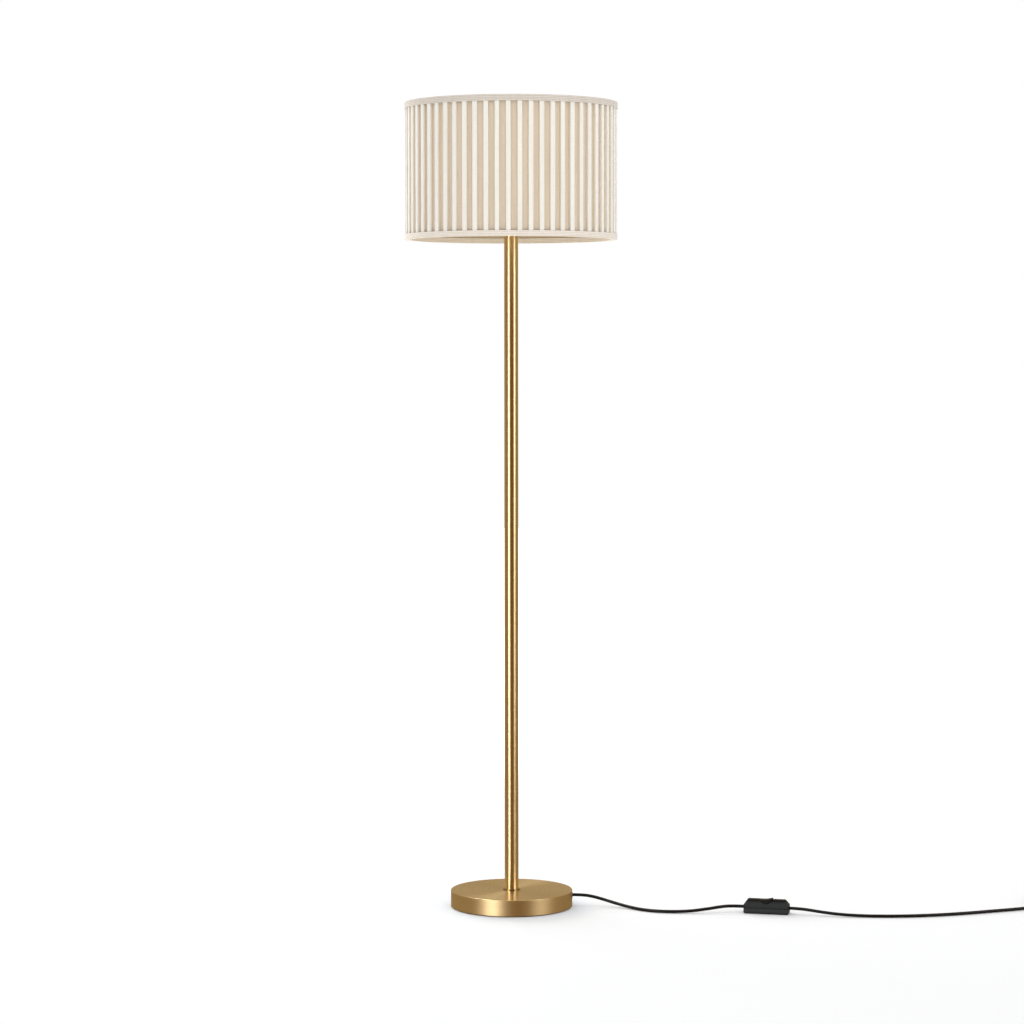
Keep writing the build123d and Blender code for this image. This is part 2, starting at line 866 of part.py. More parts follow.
def folded_band(edge, height):
    """A band folded over the shade's edge, with its inner leg as deep as its outer one."""
    return turned([
        (band_inner_radius, edge),
        (band_radius, edge),
        (band_radius, edge + height),
        (band_radius - band_thickness, edge + height),
        (band_radius - band_thickness, edge + math.copysign(band_thickness, height)),
        (band_inner_radius + band_thickness, edge + math.copysign(band_thickness, height)),
        (band_inner_radius + band_thickness, edge + height),
        (band_inner_radius, edge + height),
    ])


bottom_band = folded_band(shade_bottom, bottom_band_height)
top_band = folded_band(shade_top, -top_band_height)

# Switch base: a tray with lead supports and screw posts
inner_length = switch_length - 2 * switch_wall
inner_width = switch_width - 2 * switch_wall
inner_corner = switch_corner - switch_wall
support_top = switch_entry - lead_radius

with BuildPart() as switch_base:
    with BuildSketch():
        RectangleRounded(switch_length, switch_width, switch_corner)
    extrude(amount=switch_entry)
    fillet(switch_base.edges().group_by(Axis.Z)[0], switch_base_round)
    with BuildSketch(Plane.XY.offset(switch_floor)):
        RectangleRounded(inner_length, inner_width, inner_corner)
    extrude(amount=switch_entry, mode=Mode.SUBTRACT)
    with BuildSketch(Plane.XY.offset(switch_floor / 2)):
        with GridLocations(2 * support_distance, 0, 2, 1):
            Rectangle(support_length, support_width)
    extrude(amount=support_top - switch_floor / 2)
    with BuildSketch(Plane.XY.offset(switch_floor / 2)):
        with Locations((0, post_side)):
            with GridLocations(2 * post_distance, 0, 2, 1):
                Circle(post_radius)
    extrude(amount=switch_entry - switch_floor / 2)
    with Locations((0, post_side, 0)):
        with GridLocations(2 * post_distance, 0, 2, 1):
            Cylinder(housing_screw[2], 3 * switch_entry, mode=Mode.SUBTRACT)
            Cylinder(housing_screw[0] + thread_clearance, 2 * post_seat, mode=Mode.SUBTRACT)
    with Locations((0, 0, switch_entry)):
        Cylinder(
            lead_radius + entry_clearance,
            2 * switch_length,
            rotation=(0, 90, 0),
            mode=Mode.SUBTRACT,
        )
    with BuildSketch(Plane.XY.offset(support_top)):
        with GridLocations(2 * support_distance, 0, 2, 1):
            Rectangle(support_length, support_width)
    extrude(amount=-support_top / 4)
    with Locations((0, 0, support_top)):
        with GridLocations(2 * support_distance, bar_screw_distance, 2, 2):
            Cylinder(
                bar_screw[2],
                bar_screw[3] - bar_screw[1] - bar_thickness - 2 * lead_radius + tapped_extra,
                align=(Align.CENTER, Align.CENTER, Align.MAX),
                mode=Mode.SUBTRACT,
            )

# Switch top: straight sides, four slopes and a small flat with the rocker's opening through it
slope_wall = 0.9 * switch_wall
with BuildPart() as switch_top:
    with BuildSketch(Plane.XY.offset(switch_entry)):
        RectangleRounded(switch_length, switch_width, switch_corner)
    extrude(amount=switch_ridge - switch_entry)
    with BuildSketch(Plane.XY.offset(switch_ridge)):
        RectangleRounded(switch_length, switch_width, switch_corner)
    with BuildSketch(Plane.XY.offset(switch_height)):
        RectangleRounded(
            switch_length - 2 * switch_slope_run,
            switch_width - 2 * switch_slope_run,
            switch_top_corner,
        )
    loft()
    fillet(
        switch_top.edges().group_by(Axis.Z)[-1]
        + switch_top.edges().filter_by_position(Axis.Z, switch_ridge, switch_ridge),
        switch_edge_round,
    )
    with BuildSketch(Plane.XY.offset(switch_entry)):
        RectangleRounded(inner_length, inner_width, inner_corner)
    extrude(amount=switch_ridge - slope_wall / 2 - switch_entry, mode=Mode.SUBTRACT)
    with BuildSketch(Plane.XY.offset(switch_ridge - slope_wall / 2)):
        RectangleRounded(inner_length, inner_width, inner_corner)
    with BuildSketch(Plane.XY.offset(switch_height - slope_wall)):
        RectangleRounded(
            inner_length - 2 * switch_slope_run,
            inner_width - 2 * switch_slope_run,
            inner_corner,
        )
    loft(mode=Mode.SUBTRACT)
    with BuildSketch(Plane.XY.offset(switch_entry)):
        with Locations((0, post_side)):
            with GridLocations(2 * post_distance, 0, 2, 1):
                Circle(post_radius)
    extrude(amount=switch_ridge - switch_entry)
    with BuildSketch(Plane.XY.offset(switch_ridge - join_depth)):
        Ellipse(rocker_opening_length / 2, rocker_opening_width / 2)
    extrude(amount=switch_height, mode=Mode.SUBTRACT)
    with Locations((0, post_side, switch_entry)):
        with GridLocations(2 * post_distance, 0, 2, 1):
            Cylinder(
                housing_screw[2],
                post_seat - housing_screw[1] + housing_screw[3] - switch_entry + tapped_extra,
                align=upright,
                mode=Mode.SUBTRACT,
            )
    with Locations((0, 0, switch_entry)):
        Cylinder(
            lead_radius + entry_clearance,
            2 * switch_length,
            rotation=(0, 90, 0),
            mode=Mode.SUBTRACT,
        )
    with Locations((0, 0, pivot_height)):
        Cylinder(pivot_radius, 2 * pivot_outer_end, rotation=(90, 0, 0), mode=Mode.SUBTRACT)

with BuildPart() as switch_pivots:
    for side in (-1, 1):
        with BuildSketch(Plane.XZ.offset(-side * pivot_inner_end)):
            with Locations((0, pivot_height)):
                Circle(pivot_radius)
        extrude(amount=-side * (pivot_outer_end - pivot_inner_end))

# Rocker: two halves that meet in a shallow valley, on a plane leaned back by half the swing
lean = math.radians(rocker_tilt)
rocker_frame = Plane(
    origin=(0, 0, pivot_height),
    x_dir=(math.cos(lean), 0, math.sin(lean)),
    z_dir=(-math.sin(lean), 0, math.cos(lean)),
)
rocker_middle = Plane(
    origin=(0, 0, pivot_height),
    x_dir=(0, 1, 0),
    z_dir=(math.cos(lean), 0, math.sin(lean)),
)
rocker_top = switch_height - rocker_flush
slope_rate = switch_slope_run / (switch_height - switch_ridge)
rocker_flat = switch_width / 2 - switch_slope_run
bore_radius = plunger_radius + plunger_clearance

with BuildPart() as switch_rocker:
    with BuildSketch(Plane.YZ.offset(-rocker_length)):
        with BuildLine():
            Polyline(
                (-rocker_flat - slope_rate * pivot_height, rocker_top - pivot_height),
                (-rocker_flat + slope_rate * rocker_flush, rocker_top),
                (rocker_flat - slope_rate * rocker_flush, rocker_top),
                (rocker_flat + slope_rate * pivot_height, rocker_top - pivot_height),
                close=True,
            )
        make_face()
    extrude(amount=1.5 * rocker_length)
    split(bisect_by=rocker_middle, keep=Keep.BOTTOM)
    mirror(about=rocker_middle)
    with BuildSketch(rocker_frame.offset(rocker_underside)):
        Ellipse(rocker_length / 2, rocker_width / 2)
    extrude(amount=switch_height, mode=Mode.INTERSECT)
    with BuildSketch(rocker_frame.offset(rocker_underside + join_depth)):
        Circle(boss_radius)
    extrude(amount=-rocker_underside - join_depth - boss_reach)
    for side in (-1, 1):
        with BuildSketch(Plane.XZ.offset(-side * cheek_inside)):
            with Locations((0, pivot_height)):
                Circle(cheek_radius)
            with Locations((0, pivot_height)):
                Rectangle(
                    2 * cheek_radius,
                    rocker_underside + join_depth,
                    rotation=rocker_tilt,
                    align=(Align.CENTER, Align.MIN),
                )
        extrude(amount=-side * cheek_thickness)
    with BuildSketch(rocker_frame.offset(-boss_reach)):
        Circle(bore_radius)
    extrude(amount=boss_reach + rocker_underside, mode=Mode.SUBTRACT)
    with Locations((0, 0, pivot_height)):
        Cylinder(
            pivot_radius + pivot_clearance,
            switch_width,
            rotation=(90, 0, 0),
            mode=Mode.SUBTRACT,
        )

with BuildPart() as switch_plunger:
    with BuildSketch(rocker_frame.offset(-plunger_reach)):
        Circle(plunger_radius)
    extrude(amount=plunger_length)

spring_height = plunger_reach - plunger_length + rocker_underside - 2 * spring_wire_radius
spring_bottom = plunger_length - plunger_reach + spring_wire_radius
with BuildPart() as switch_spring:
    with BuildLine():
        spring_line = Helix(
            spring_height / spring_turns,
            spring_height,
            plunger_radius - spring_wire_radius,
            center=rocker_frame.from_local_coords(Vector(0, 0, spring_bottom)),
            direction=rocker_frame.z_dir,
        )
    with BuildSketch(Plane(origin=spring_line @ 0, z_dir=spring_line % 0)):
        Circle(spring_wire_radius)
    sweep()

# Bridge: a strip that tips on the fulcrum and closes the circuit with the button at one end
tip = math.radians(bridge_tilt)
fulcrum_to_bridge = fulcrum_radius + contact_gap + bridge_thickness / 2
fulcrum_height = bridge_height - fulcrum_to_bridge
bridge_frame = Plane(
    origin=(
        fulcrum_to_bridge * math.sin(tip),
        0,
        fulcrum_height + fulcrum_to_bridge * math.cos(tip),
    ),
    x_dir=(math.cos(tip), 0, -math.sin(tip)),
    z_dir=(math.sin(tip), 0, math.cos(tip)),
)
with BuildPart() as switch_bridge:
    with BuildSketch(bridge_frame.offset(-bridge_thickness / 2)):
        Rectangle(bridge_length, bridge_width)
    extrude(amount=bridge_thickness)
    with BuildSketch(bridge_frame.offset(-bridge_thickness / 2)):
        with Locations((button_distance, 0)):
            Circle(button_radius)
    extrude(amount=-button_height)

# Terminals: each a strap on the floor, with a block for the core and screw
button_low = (button_distance + button_radius) * math.sin(tip)
button_low += (bridge_thickness / 2 + button_height) * math.cos(tip)
stud_top = bridge_height - button_low - contact_gap
with BuildPart() as switch_terminals:
    with BuildSketch(Plane.XZ):
        with BuildLine():
            Polyline(
                (-fulcrum_radius, fulcrum_height),
                (-fulcrum_width / 2, switch_floor + strap_thickness),
                (-block_distance - block_size / 2, switch_floor + strap_thickness),
                (-block_distance - block_size / 2, switch_floor),
                (fulcrum_width / 2, switch_floor),
                (fulcrum_width / 2, switch_floor + strap_thickness),
                (fulcrum_radius, fulcrum_height),
            )
            ThreePointArc(
                (fulcrum_radius, fulcrum_height),
                (0, fulcrum_height + fulcrum_radius),
                (-fulcrum_radius, fulcrum_height),
            )
        make_face()
        with BuildLine():
            Polyline(
                (button_distance - button_radius, switch_floor),
                (block_distance + block_size / 2, switch_floor),
                (block_distance + block_size / 2, switch_floor + strap_thickness),
                (button_distance + button_radius, switch_floor + strap_thickness),
                (button_distance + button_radius, stud_top),
                (button_distance - button_radius, stud_top),
                close=True,
            )
        make_face()
    extrude(amount=strap_width / 2, both=True)
    with Locations((0, block_side, switch_floor)):
        with GridLocations(2 * block_distance, 0, 2, 1):
            Box(block_size, block_size, block_height, align=upright)
    for side in (-1, 1):
        with Locations((side * block_distance, block_side, switch_floor + block_core_height)):
            Cylinder(terminal_screw[2], block_height, align=upright, mode=Mode.SUBTRACT)
            with Locations((side * block_size / 2, 0, 0)):
                Cylinder(
                    core_hole_radius,
                    block_size * 1.4,
                    rotation=(0, 90, 0),
                    mode=Mode.SUBTRACT,
                )

with BuildPart() as terminal_screws:
    for side in (-1, 1):
        with Locations(Location(
            (side * block_distance, block_side, switch_floor + block_height + terminal_screw[1]),
            (180, 0, 0),
        )):
            add(slotted_screw(terminal_screw))

with BuildPart() as switch_clamp_bars:
    with Locations((0, 0, switch_entry + lead_radius)):
        with GridLocations(2 * support_distance, 0, 2, 1):
            Box(support_length, support_width, bar_thickness, align=upright)
        with GridLocations(2 * support_distance, bar_screw_distance, 2, 2):
            Cylinder(bar_screw[2], 3 * bar_thickness, mode=Mode.SUBTRACT)

bar_screw_top = switch_entry + lead_radius + bar_thickness + bar_screw[1]
with BuildPart() as switch_clamp_screws:
    for side in (-1, 1):
        for across in (-1, 1):
            with Locations(Location(
                (side * support_distance, across * bar_screw_distance / 2, bar_screw_top),
                (180, 0, 0),
            )):
                add(slotted_screw(bar_screw))

with BuildPart() as switch_screws:
    with Locations((0, post_side, post_seat - housing_screw[1])):
        with GridLocations(2 * post_distance, 0, 2, 1):
            add(slotted_screw(housing_screw))

sheath_end = switch_length / 2 - sheath_inside
with BuildPart() as switch_lead_ends:
    for side in (-1, 1):
        with BuildSketch(Plane.YZ.offset(side * sheath_end)):
            with Locations((0, switch_entry)):
                Circle(lead_radius)
        extrude(amount=side * sheath_inside)

block_entry = switch_floor + block_core_height
with BuildPart() as switch_cores:
    for side in (-1, 1):
        core = tube_along(
            [
                (side * sheath_end, -core_offset, switch_entry),
                (side * (sheath_end - core_straight), -core_offset, switch_entry),
                (side * (block_distance + block_size), block_side, block_entry),
                (side * block_distance, block_side, block_entry),
            ],
            2 * core_radius,
            core_radius,
        )
        add(core.part)
    core = tube_along(
        [
            (-sheath_end, core_offset, switch_entry),
            (-sheath_end + core_straight, core_offset, switch_entry),
            (-sheath_end + neutral_straight, neutral_side, switch_entry),
            (sheath_end - neutral_straight, neutral_side, switch_entry),
            (sheath_end - core_straight, core_offset, switch_entry),
            (sheath_end, core_offset, switch_entry),
        ],
        2 * core_radius,
        core_radius,
    )
    add(core.part)

# Plug: a moulded body with its strain relief and the pins' sleeves, and the pins
plug_end = relief_length + plug_length
relief_profile = [(0, 0), (0, relief_small_radius)]
for groove in range(relief_groove_count):
    start = relief_length * (groove + 0.4) / (relief_groove_count + 0.6)
    share = start / relief_length
    radius = relief_small_radius + share * (relief_large_radius - relief_small_radius)
    relief_profile += [
        (start, radius),
        (start, radius - relief_groove_depth),
        (start + relief_groove_width, radius - relief_groove_depth),
        (start + relief_groove_width, radius),
    ]
relief_profile += [
    (relief_length + join_depth, relief_large_radius),
    (relief_length + join_depth, 0),
]

with BuildPart() as plug_body:
    with BuildSketch(Plane.XY.offset(-plug_thickness / 2)):
        with BuildLine():
            Polyline(
                (relief_length, -plug_neck_width / 2),
                (relief_length + plug_shoulder, -plug_width / 2),
                (plug_end, -plug_width / 2),
                (plug_end, plug_width / 2),
                (relief_length + plug_shoulder, plug_width / 2),
                (relief_length, plug_neck_width / 2),
                close=True,
            )
        make_face()
    extrude(amount=plug_thickness)
    fillet(plug_body.edges().filter_by(Axis.Z).group_by(Axis.X)[1], 2 * plug_side_round)
    fillet(plug_body.edges().filter_by(Axis.Z).group_by(Axis.X)[-1], plug_side_round)
    fillet(
        plug_body.edges().group_by(Axis.Z)[0] + plug_body.edges().group_by(Axis.Z)[-1],
        plug_edge_round,
    )
    with BuildSketch():
        with BuildLine():
            Polyline(*relief_profile, close=True)
        make_face()
    revolve(axis=Axis.X)
    with BuildSketch(Plane.YZ.offset(plug_end)):
        with GridLocations(pin_spacing, 0, 2, 1):
            Circle(pin_radius - sleeve_inset)
    extrude(amount=sleeve_length)
    with BuildSketch(Plane.YZ.offset(plug_end + sleeve_length)):
        with GridLocations(pin_spacing, 0, 2, 1):
            Circle(pin_root_radius)
    extrude(amount=-pin_root_depth - sleeve_length, mode=Mode.SUBTRACT)

with BuildPart() as plug_pins:
    with BuildSketch(Plane.YZ.offset(plug_end - pin_root_depth)):
        with GridLocations(pin_spacing, 0, 2, 1):
            Circle(pin_root_radius)
    extrude(amount=pin_root_depth + sleeve_length)
    with BuildSketch(Plane.YZ.offset(plug_end + sleeve_length)):
        with GridLocations(pin_spacing, 0, 2, 1):
            Circle(pin_radius)
    extrude(amount=pin_length - sleeve_length)
    chamfer(plug_pins.edges().group_by(Axis.X)[-1], pin_radius / 2)


# The coil of the lead
def coil_point(angle):
    """The coil's centreline after an angle in degrees: inwards, up in half a turn, outwards."""
    climb = min(max((angle - coil_layer_angle) / 180, 0), 1)
    turns_in = min(angle, coil_layer_angle) / 360
    turns_out = max(angle - coil_layer_angle - 180, 0) / 360
    radius = coil_outer_radius - coil_pitch * (turns_in - turns_out)
    radius -= coil_pitch / 2 * (climb - climb**2)
    direction = math.radians(coil_start_angle + angle)
    return Vector(
        coil_centre[0] + radius * math.cos(direction),
        coil_centre[1] + radius * math.sin(direction),
        coil_bottom + coil_pitch * (3 * climb**2 - 2 * climb**3),
    )


def coil_heading(angle):
    """The direction of the coil's centreline after an angle in degrees."""
    return (coil_point(angle + 0.01) - coil_point(angle - 0.01)).normalized()


coil_angles = [
    coil_layer_angle * step / coil_layer_steps for step in range(coil_layer_steps)
]
coil_angles += [
    coil_layer_angle + 180 * step / coil_climb_steps for step in range(coil_climb_steps)
]
coil_angles += [
    coil_layer_angle + 180 + coil_layer_angle * step / coil_layer_steps
    for step in range(coil_layer_steps + 1)
]
coil_start = coil_point(0) - coil_heading(0) * coil_straight
coil_end = coil_point(coil_angle) + coil_heading(coil_angle) * coil_straight

with BuildPart() as lead_coil:
    with BuildLine() as coil_path:
        Line(coil_start, coil_point(0))
        for first, last in zip(coil_angles, coil_angles[1:]):
            start = coil_point(first)
            end = coil_point(last)
            leaving = coil_heading(first)
            arriving = coil_heading(last)
            span = end - start
            both = leaving + arriving
            spread = 2 * (1 - leaving.dot(arriving))
            reach = -span.dot(both) + math.sqrt(span.dot(both) ** 2 + spread * span.dot(span))
            reach /= spread
            here = start + leaving * reach
            there = end - arriving * reach
            joint = (here + there) * 0.5
            TangentArc(start, joint, tangent=leaving)
            TangentArc(joint, end, tangent=there - here)
        Line(coil_point(coil_angle), coil_end)
    with BuildSketch(Plane(origin=coil_start, z_dir=coil_heading(0))):
        Circle(lead_radius)
    sweep()

coil_wire = coil_path.wire()
coil_samples = 1200
coil_places = [coil_wire.position_at(k / coil_samples) for k in range(coil_samples + 1)]
apart = math.ceil(8 * lead_radius * coil_samples / coil_wire.length)
least = min(
    (coil_places[i] - coil_places[j]).length
    for i in range(0, coil_samples + 1, 2)
    for j in range(i + apart, coil_samples + 1)
)
print("lead_coil length", round(coil_wire.length, 1), "gap", round(least - 2 * lead_radius, 2))

# Tie round all the turns of the coil
tie_out = Vector(1, 0, 0).rotate(Axis.Z, tie_angle)
tie_along = Vector(0, 1, 0).rotate(Axis.Z, tie_angle)
held = [
    (place - Vector(*coil_centre)).dot(tie_out)
    for place in coil_places
    if abs((place - Vector(*coil_centre)).dot(tie_along)) < 0.6 * tie_width
    and (place - Vector(*coil_centre)).dot(tie_out) > 0
]
tie_room = lead_radius + tie_gap
tie_depth = max(held) - min(held) + 2 * tie_room
tie_height = coil_pitch + 2 * tie_room
with BuildPart() as coil_tie:
    with BuildSketch(Plane(
        origin=Vector(*coil_centre) + tie_out * ((max(held) + min(held)) / 2)
        + Vector(0, 0, coil_bottom + coil_pitch / 2),
        x_dir=tie_out,
        z_dir=-tie_along,
    )):
        RectangleRounded(
            tie_depth + 2 * tie_thickness, tie_height + 2 * tie_thickness, tie_room + tie_thickness
        )
        RectangleRounded(tie_depth, tie_height, tie_room, mode=Mode.SUBTRACT)
    extrude(amount=tie_width / 2, both=True)

# Free stretches of the lead
switch_in = (switch_location * Pos(-switch_length / 2, 0, switch_entry)).position
switch_out = (switch_location * Pos(switch_length / 2, 0, switch_entry)).position
switch_along = Vector(1, 0, 0).rotate(Axis.Z, switch_turn)
plug_along = Vector(1, 0, 0).rotate(Axis.Z, plug_turn)
plug_entry = Vector(*plug_place, plug_thickness / 2)

lead_to_switch = free_lead("lead_to_switch", [
    (lead_exit_x, 0, lead_exit_height),
    (lead_exit_x + lead_exit_run, 0, lead_exit_height),
    *first_lie,
    tuple(switch_in - switch_along * switch_run),
    tuple(switch_in),
])
lead_to_coil = free_lead("lead_to_coil", [
    tuple(switch_out),
    tuple(switch_out + switch_along * switch_run),
    *second_lie,
    tuple(coil_start - coil_heading(0) * coil_run_in),
    tuple(coil_start),
])
lead_to_plug = free_lead("lead_to_plug", [
    tuple(coil_end),
    tuple(coil_end + coil_heading(coil_angle) * coil_run_out),
    tuple(plug_entry - plug_along * plug_run),
    tuple(plug_entry),
])

# Export
pieces = {
    "foot_pad": foot_pad,
    "closing_plate": closing_plate,
    "closing_plate_screws": closing_plate_screws,
    "foot_weight": foot_weight,
    "foot_cover": foot_cover,
    "threaded_rod": threaded_rod,
    "foot_washer": foot_washer,
    "foot_nut": foot_nut,
    "lead_clamp_bar": lead_clamp_bar,
    "lead_clamp_screws": lead_clamp_screws,
    "lead_grommet": lead_grommet,
    "lead_inside": lead_inside,
    "foot_collar": foot_collar,
    "pole_foot_bush": pole_foot_bush,
    "pole": pole,
    "pole_top_bush": pole_top_bush,
    "holder_nipple": holder_nipple,
    "holder_cap": holder_cap,
    "holder_terminals": holder_terminals,
    "holder_cores": holder_cores,
    "holder_insulator": holder_insulator,
    "holder_contact": holder_contact,
    "holder_screw_shell": holder_screw_shell,
    "holder_skirt": holder_skirt,
    "lower_shade_ring": lower_shade_ring,
    "upper_shade_ring": upper_shade_ring,
    "bulb_tip": bulb_tip,
    "bulb_insulator": bulb_insulator,
    "bulb_cap": bulb_cap,
    "bulb_globe": bulb_globe,
    "bulb_stem": bulb_stem,
    "bulb_filaments": bulb_filaments,
    "fitter_ring": fitter_ring,
    "fitter_arms": fitter_arms,
    "wire_rings": wire_rings,
    "shade_liner": shade_liner,
    "pleated_fabric": pleated_fabric,
    "bottom_band": bottom_band,
    "top_band": top_band,
    "lead_to_switch": lead_to_switch,
    "lead_to_coil": lead_to_coil,
    "lead_coil": lead_coil,
    "lead_to_plug": lead_to_plug,
    "coil_tie": coil_tie,
}
switch_pieces = {
    "switch_base": switch_base,
    "switch_top": switch_top,
    "switch_rocker": switch_rocker,
    "switch_pivots": switch_pivots,
    "switch_plunger": switch_plunger,
    "switch_spring": switch_spring,
    "switch_bridge": switch_bridge,
    "switch_terminals": switch_terminals,
    "terminal_screws": terminal_screws,
    "switch_cores": switch_cores,
    "switch_clamp_bars": switch_clamp_bars,
    "switch_clamp_screws": switch_clamp_screws,
    "switch_screws": switch_screws,
    "switch_lead_ends": switch_lead_ends,
}
plug_pieces = {
    "plug_body": plug_body,
    "plug_pins": plug_pins,
}
placed = {name: piece.part for name, piece in pieces.items()}
placed |= {name: piece.part.moved(switch_location) for name, piece in switch_pieces.items()}
placed |= {name: piece.part.moved(plug_location) for name, piece in plug_pieces.items()}
for name, piece in placed.items():
    piece.label = name
    export_step(piece, f"parts/{name}.step")
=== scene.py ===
import json
import math
import random

import bpy
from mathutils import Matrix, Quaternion, Vector, noise


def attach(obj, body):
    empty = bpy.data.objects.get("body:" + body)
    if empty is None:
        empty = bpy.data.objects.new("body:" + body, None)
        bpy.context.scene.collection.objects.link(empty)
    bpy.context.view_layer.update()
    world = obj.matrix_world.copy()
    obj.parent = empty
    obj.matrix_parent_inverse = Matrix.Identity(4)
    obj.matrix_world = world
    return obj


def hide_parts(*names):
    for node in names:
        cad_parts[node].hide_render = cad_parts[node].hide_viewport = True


# Looks of the pleated shade floor lamp. Metres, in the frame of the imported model.
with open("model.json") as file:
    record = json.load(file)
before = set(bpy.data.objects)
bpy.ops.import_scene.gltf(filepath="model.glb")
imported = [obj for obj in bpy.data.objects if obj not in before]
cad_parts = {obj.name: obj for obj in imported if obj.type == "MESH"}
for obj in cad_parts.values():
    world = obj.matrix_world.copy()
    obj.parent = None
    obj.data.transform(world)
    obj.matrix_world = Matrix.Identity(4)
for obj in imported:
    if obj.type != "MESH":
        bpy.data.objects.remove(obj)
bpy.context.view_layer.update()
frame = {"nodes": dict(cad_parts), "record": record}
nodes = frame["nodes"]
random.seed(11)


# Camera, as fitted to the photo: place in metres, turns in degrees, focal length in pixels
camera_place = (0.0015, -5.5694, 1.0576)
camera_tilt = 3.133
camera_roll = 0.045
camera_focal = 2943.6
photo_width = 1024
sensor_width = 36
camera_reach = 60
camera = bpy.data.objects.new("camera", bpy.data.cameras.new("camera"))
bpy.context.collection.objects.link(camera)
camera.data.sensor_width = sensor_width
camera.data.lens = sensor_width * camera_focal / photo_width
camera.location = camera_place
camera.rotation_euler = (math.radians(90 - camera_tilt), math.radians(camera_roll), 0)
camera.data.clip_end = camera_reach
bpy.context.scene.camera = camera


# Materials
def new_material(name, color, roughness, inputs=()):
    """A node material. Inputs are further (socket, value) pairs of its shader."""
    made = bpy.data.materials.new(name)
    made.use_nodes = True
    shader = made.node_tree.nodes["Principled BSDF"]
    shader.inputs["Base Color"].default_value = (*color, 1)
    shader.inputs["Roughness"].default_value = roughness
    for socket, value in inputs:
        shader.inputs[socket].default_value = value
    return made


class Tree:
    """Short ways to add nodes to a material."""

    def __init__(self, made):
        self.nodes = made.node_tree.nodes
        self.links = made.node_tree.links
        self.shader = self.nodes["Principled BSDF"]

    def add(self, kind, settings=(), inputs=()):
        node = self.nodes.new(kind)
        for name, value in settings:
            setattr(node, name, value)
        for name, value in inputs:
            if hasattr(value, "is_output"):
                self.links.new(value, node.inputs[name])
            else:
                node.inputs[name].default_value = value
        return node

    def math(self, operation, first, second=0.0):
        return self.add(
            "ShaderNodeMath", [("operation", operation)], [(0, first), (1, second)]
        ).outputs[0]

    def place(self, stretch=(1, 1, 1), output="Object"):
        """Texture coordinates, stretched along the axes."""
        source = self.add("ShaderNodeTexCoord").outputs[output]
        return self.add(
            "ShaderNodeMapping", [], [("Vector", source), ("Scale", stretch)]
        ).outputs[0]

    def speckle(self, where, scale, detail=3.0, rough=0.6):
        return self.add(
            "ShaderNodeTexNoise",
            [],
            [("Vector", where), ("Scale", scale), ("Detail", detail), ("Roughness", rough)],
        ).outputs["Fac"]

    def bands(self, where, scale, direction="X", distortion=0.0):
        return self.add(
            "ShaderNodeTexWave",
            [("wave_type", "BANDS"), ("bands_direction", direction)],
            [("Vector", where), ("Scale", scale), ("Distortion", distortion)],
        ).outputs["Fac"]

    def ramp(self, factor, low, high):
        """A colour between two, by a factor that is used over its middle half."""
        node = self.add("ShaderNodeValToRGB", [], [("Fac", factor)])
        node.color_ramp.elements[0].position = 0.25
        node.color_ramp.elements[1].position = 0.75
        node.color_ramp.elements[0].color = (*low, 1)
        node.color_ramp.elements[1].color = (*high, 1)
        return node.outputs[0]

    def span(self, factor, low, high):
        return self.add(
            "ShaderNodeMapRange", [], [("Value", factor), ("To Min", low), ("To Max", high)]
        ).outputs[0]

    def color(self, output):
        self.links.new(output, self.shader.inputs["Base Color"])

    def roughness(self, output):
        self.links.new(output, self.shader.inputs["Roughness"])

    def bump(self, height, strength, distance):
        node = self.add(
            "ShaderNodeBump",
            [],
            [("Height", height), ("Strength", strength), ("Distance", distance)],
        )
        self.links.new(node.outputs[0], self.shader.inputs["Normal"])


grain_coarseness = 25
grain_gloss = 0.06
grain_depth = 0.0004


def grained(name, low, high, roughness, scale, bump, inputs=()):
    """A surface with fine grain, and a colour and gloss that vary a little."""
    made = new_material(name, low, roughness, inputs)
    tree = Tree(made)
    where = tree.place()
    fine = tree.speckle(where, scale)
    broad = tree.speckle(where, scale / grain_coarseness, 2)
    tree.color(tree.ramp(broad, low, high))
    tree.roughness(tree.span(fine, roughness - grain_gloss, roughness + grain_gloss))
    tree.bump(fine, bump, grain_depth)
    return made


ring_scale = 1500
broad_ring_scale = 300
ring_tones = (0.93, 1.07)
ring_gloss = (-0.03, 0.05)
ring_depth = 0.0002


def turned_brass(name, tone, roughness, turning, face=None):
    """Satin brass, turned round the lamp's axis: fine rings that stretch every highlight.

    Face is the height and roughness of a finer turned face on top.
    """
    made = new_material(name, tone, roughness, [
        ("Metallic", 1.0),
        ("Anisotropic", turning),
        ("Anisotropic Rotation", 0.25),
        ("Coat Weight", 0.15),
        ("Coat Roughness", 0.2),
        ("Coat IOR", 1.35),
    ])
    tree = Tree(made)
    x, y, z = tree.add(
        "ShaderNodeSeparateXYZ", [], [(0, tree.place())]
    ).outputs
    radius = tree.math("SQRT", tree.math("ADD", tree.math("MULTIPLY", x, x),
                                         tree.math("MULTIPLY", y, y)))
    across = z
    if face:
        over = tree.math("GREATER_THAN", z, face[0])
        across = tree.math("ADD", z, tree.math("MULTIPLY", over, radius))
    rings = tree.add("ShaderNodeCombineXYZ", [], [(2, across)]).outputs[0]
    fine = tree.speckle(rings, ring_scale, 4, 0.7)
    broad = tree.speckle(rings, broad_ring_scale, 2)
    tree.color(tree.ramp(broad, *[[share * v for v in tone] for share in ring_tones]))
    gloss = tree.span(fine, *[roughness + change for change in ring_gloss])
    if face:
        gloss = tree.math("SUBTRACT", gloss, tree.math("MULTIPLY", over, roughness - face[1]))
    tree.roughness(gloss)
    tree.bump(fine, 0.015, ring_depth)
    tangent = tree.add("ShaderNodeTangent", [("direction_type", "RADIAL"), ("axis", "Z")])
    tree.links.new(tangent.outputs[0], tree.shader.inputs["Tangent"])
    return made


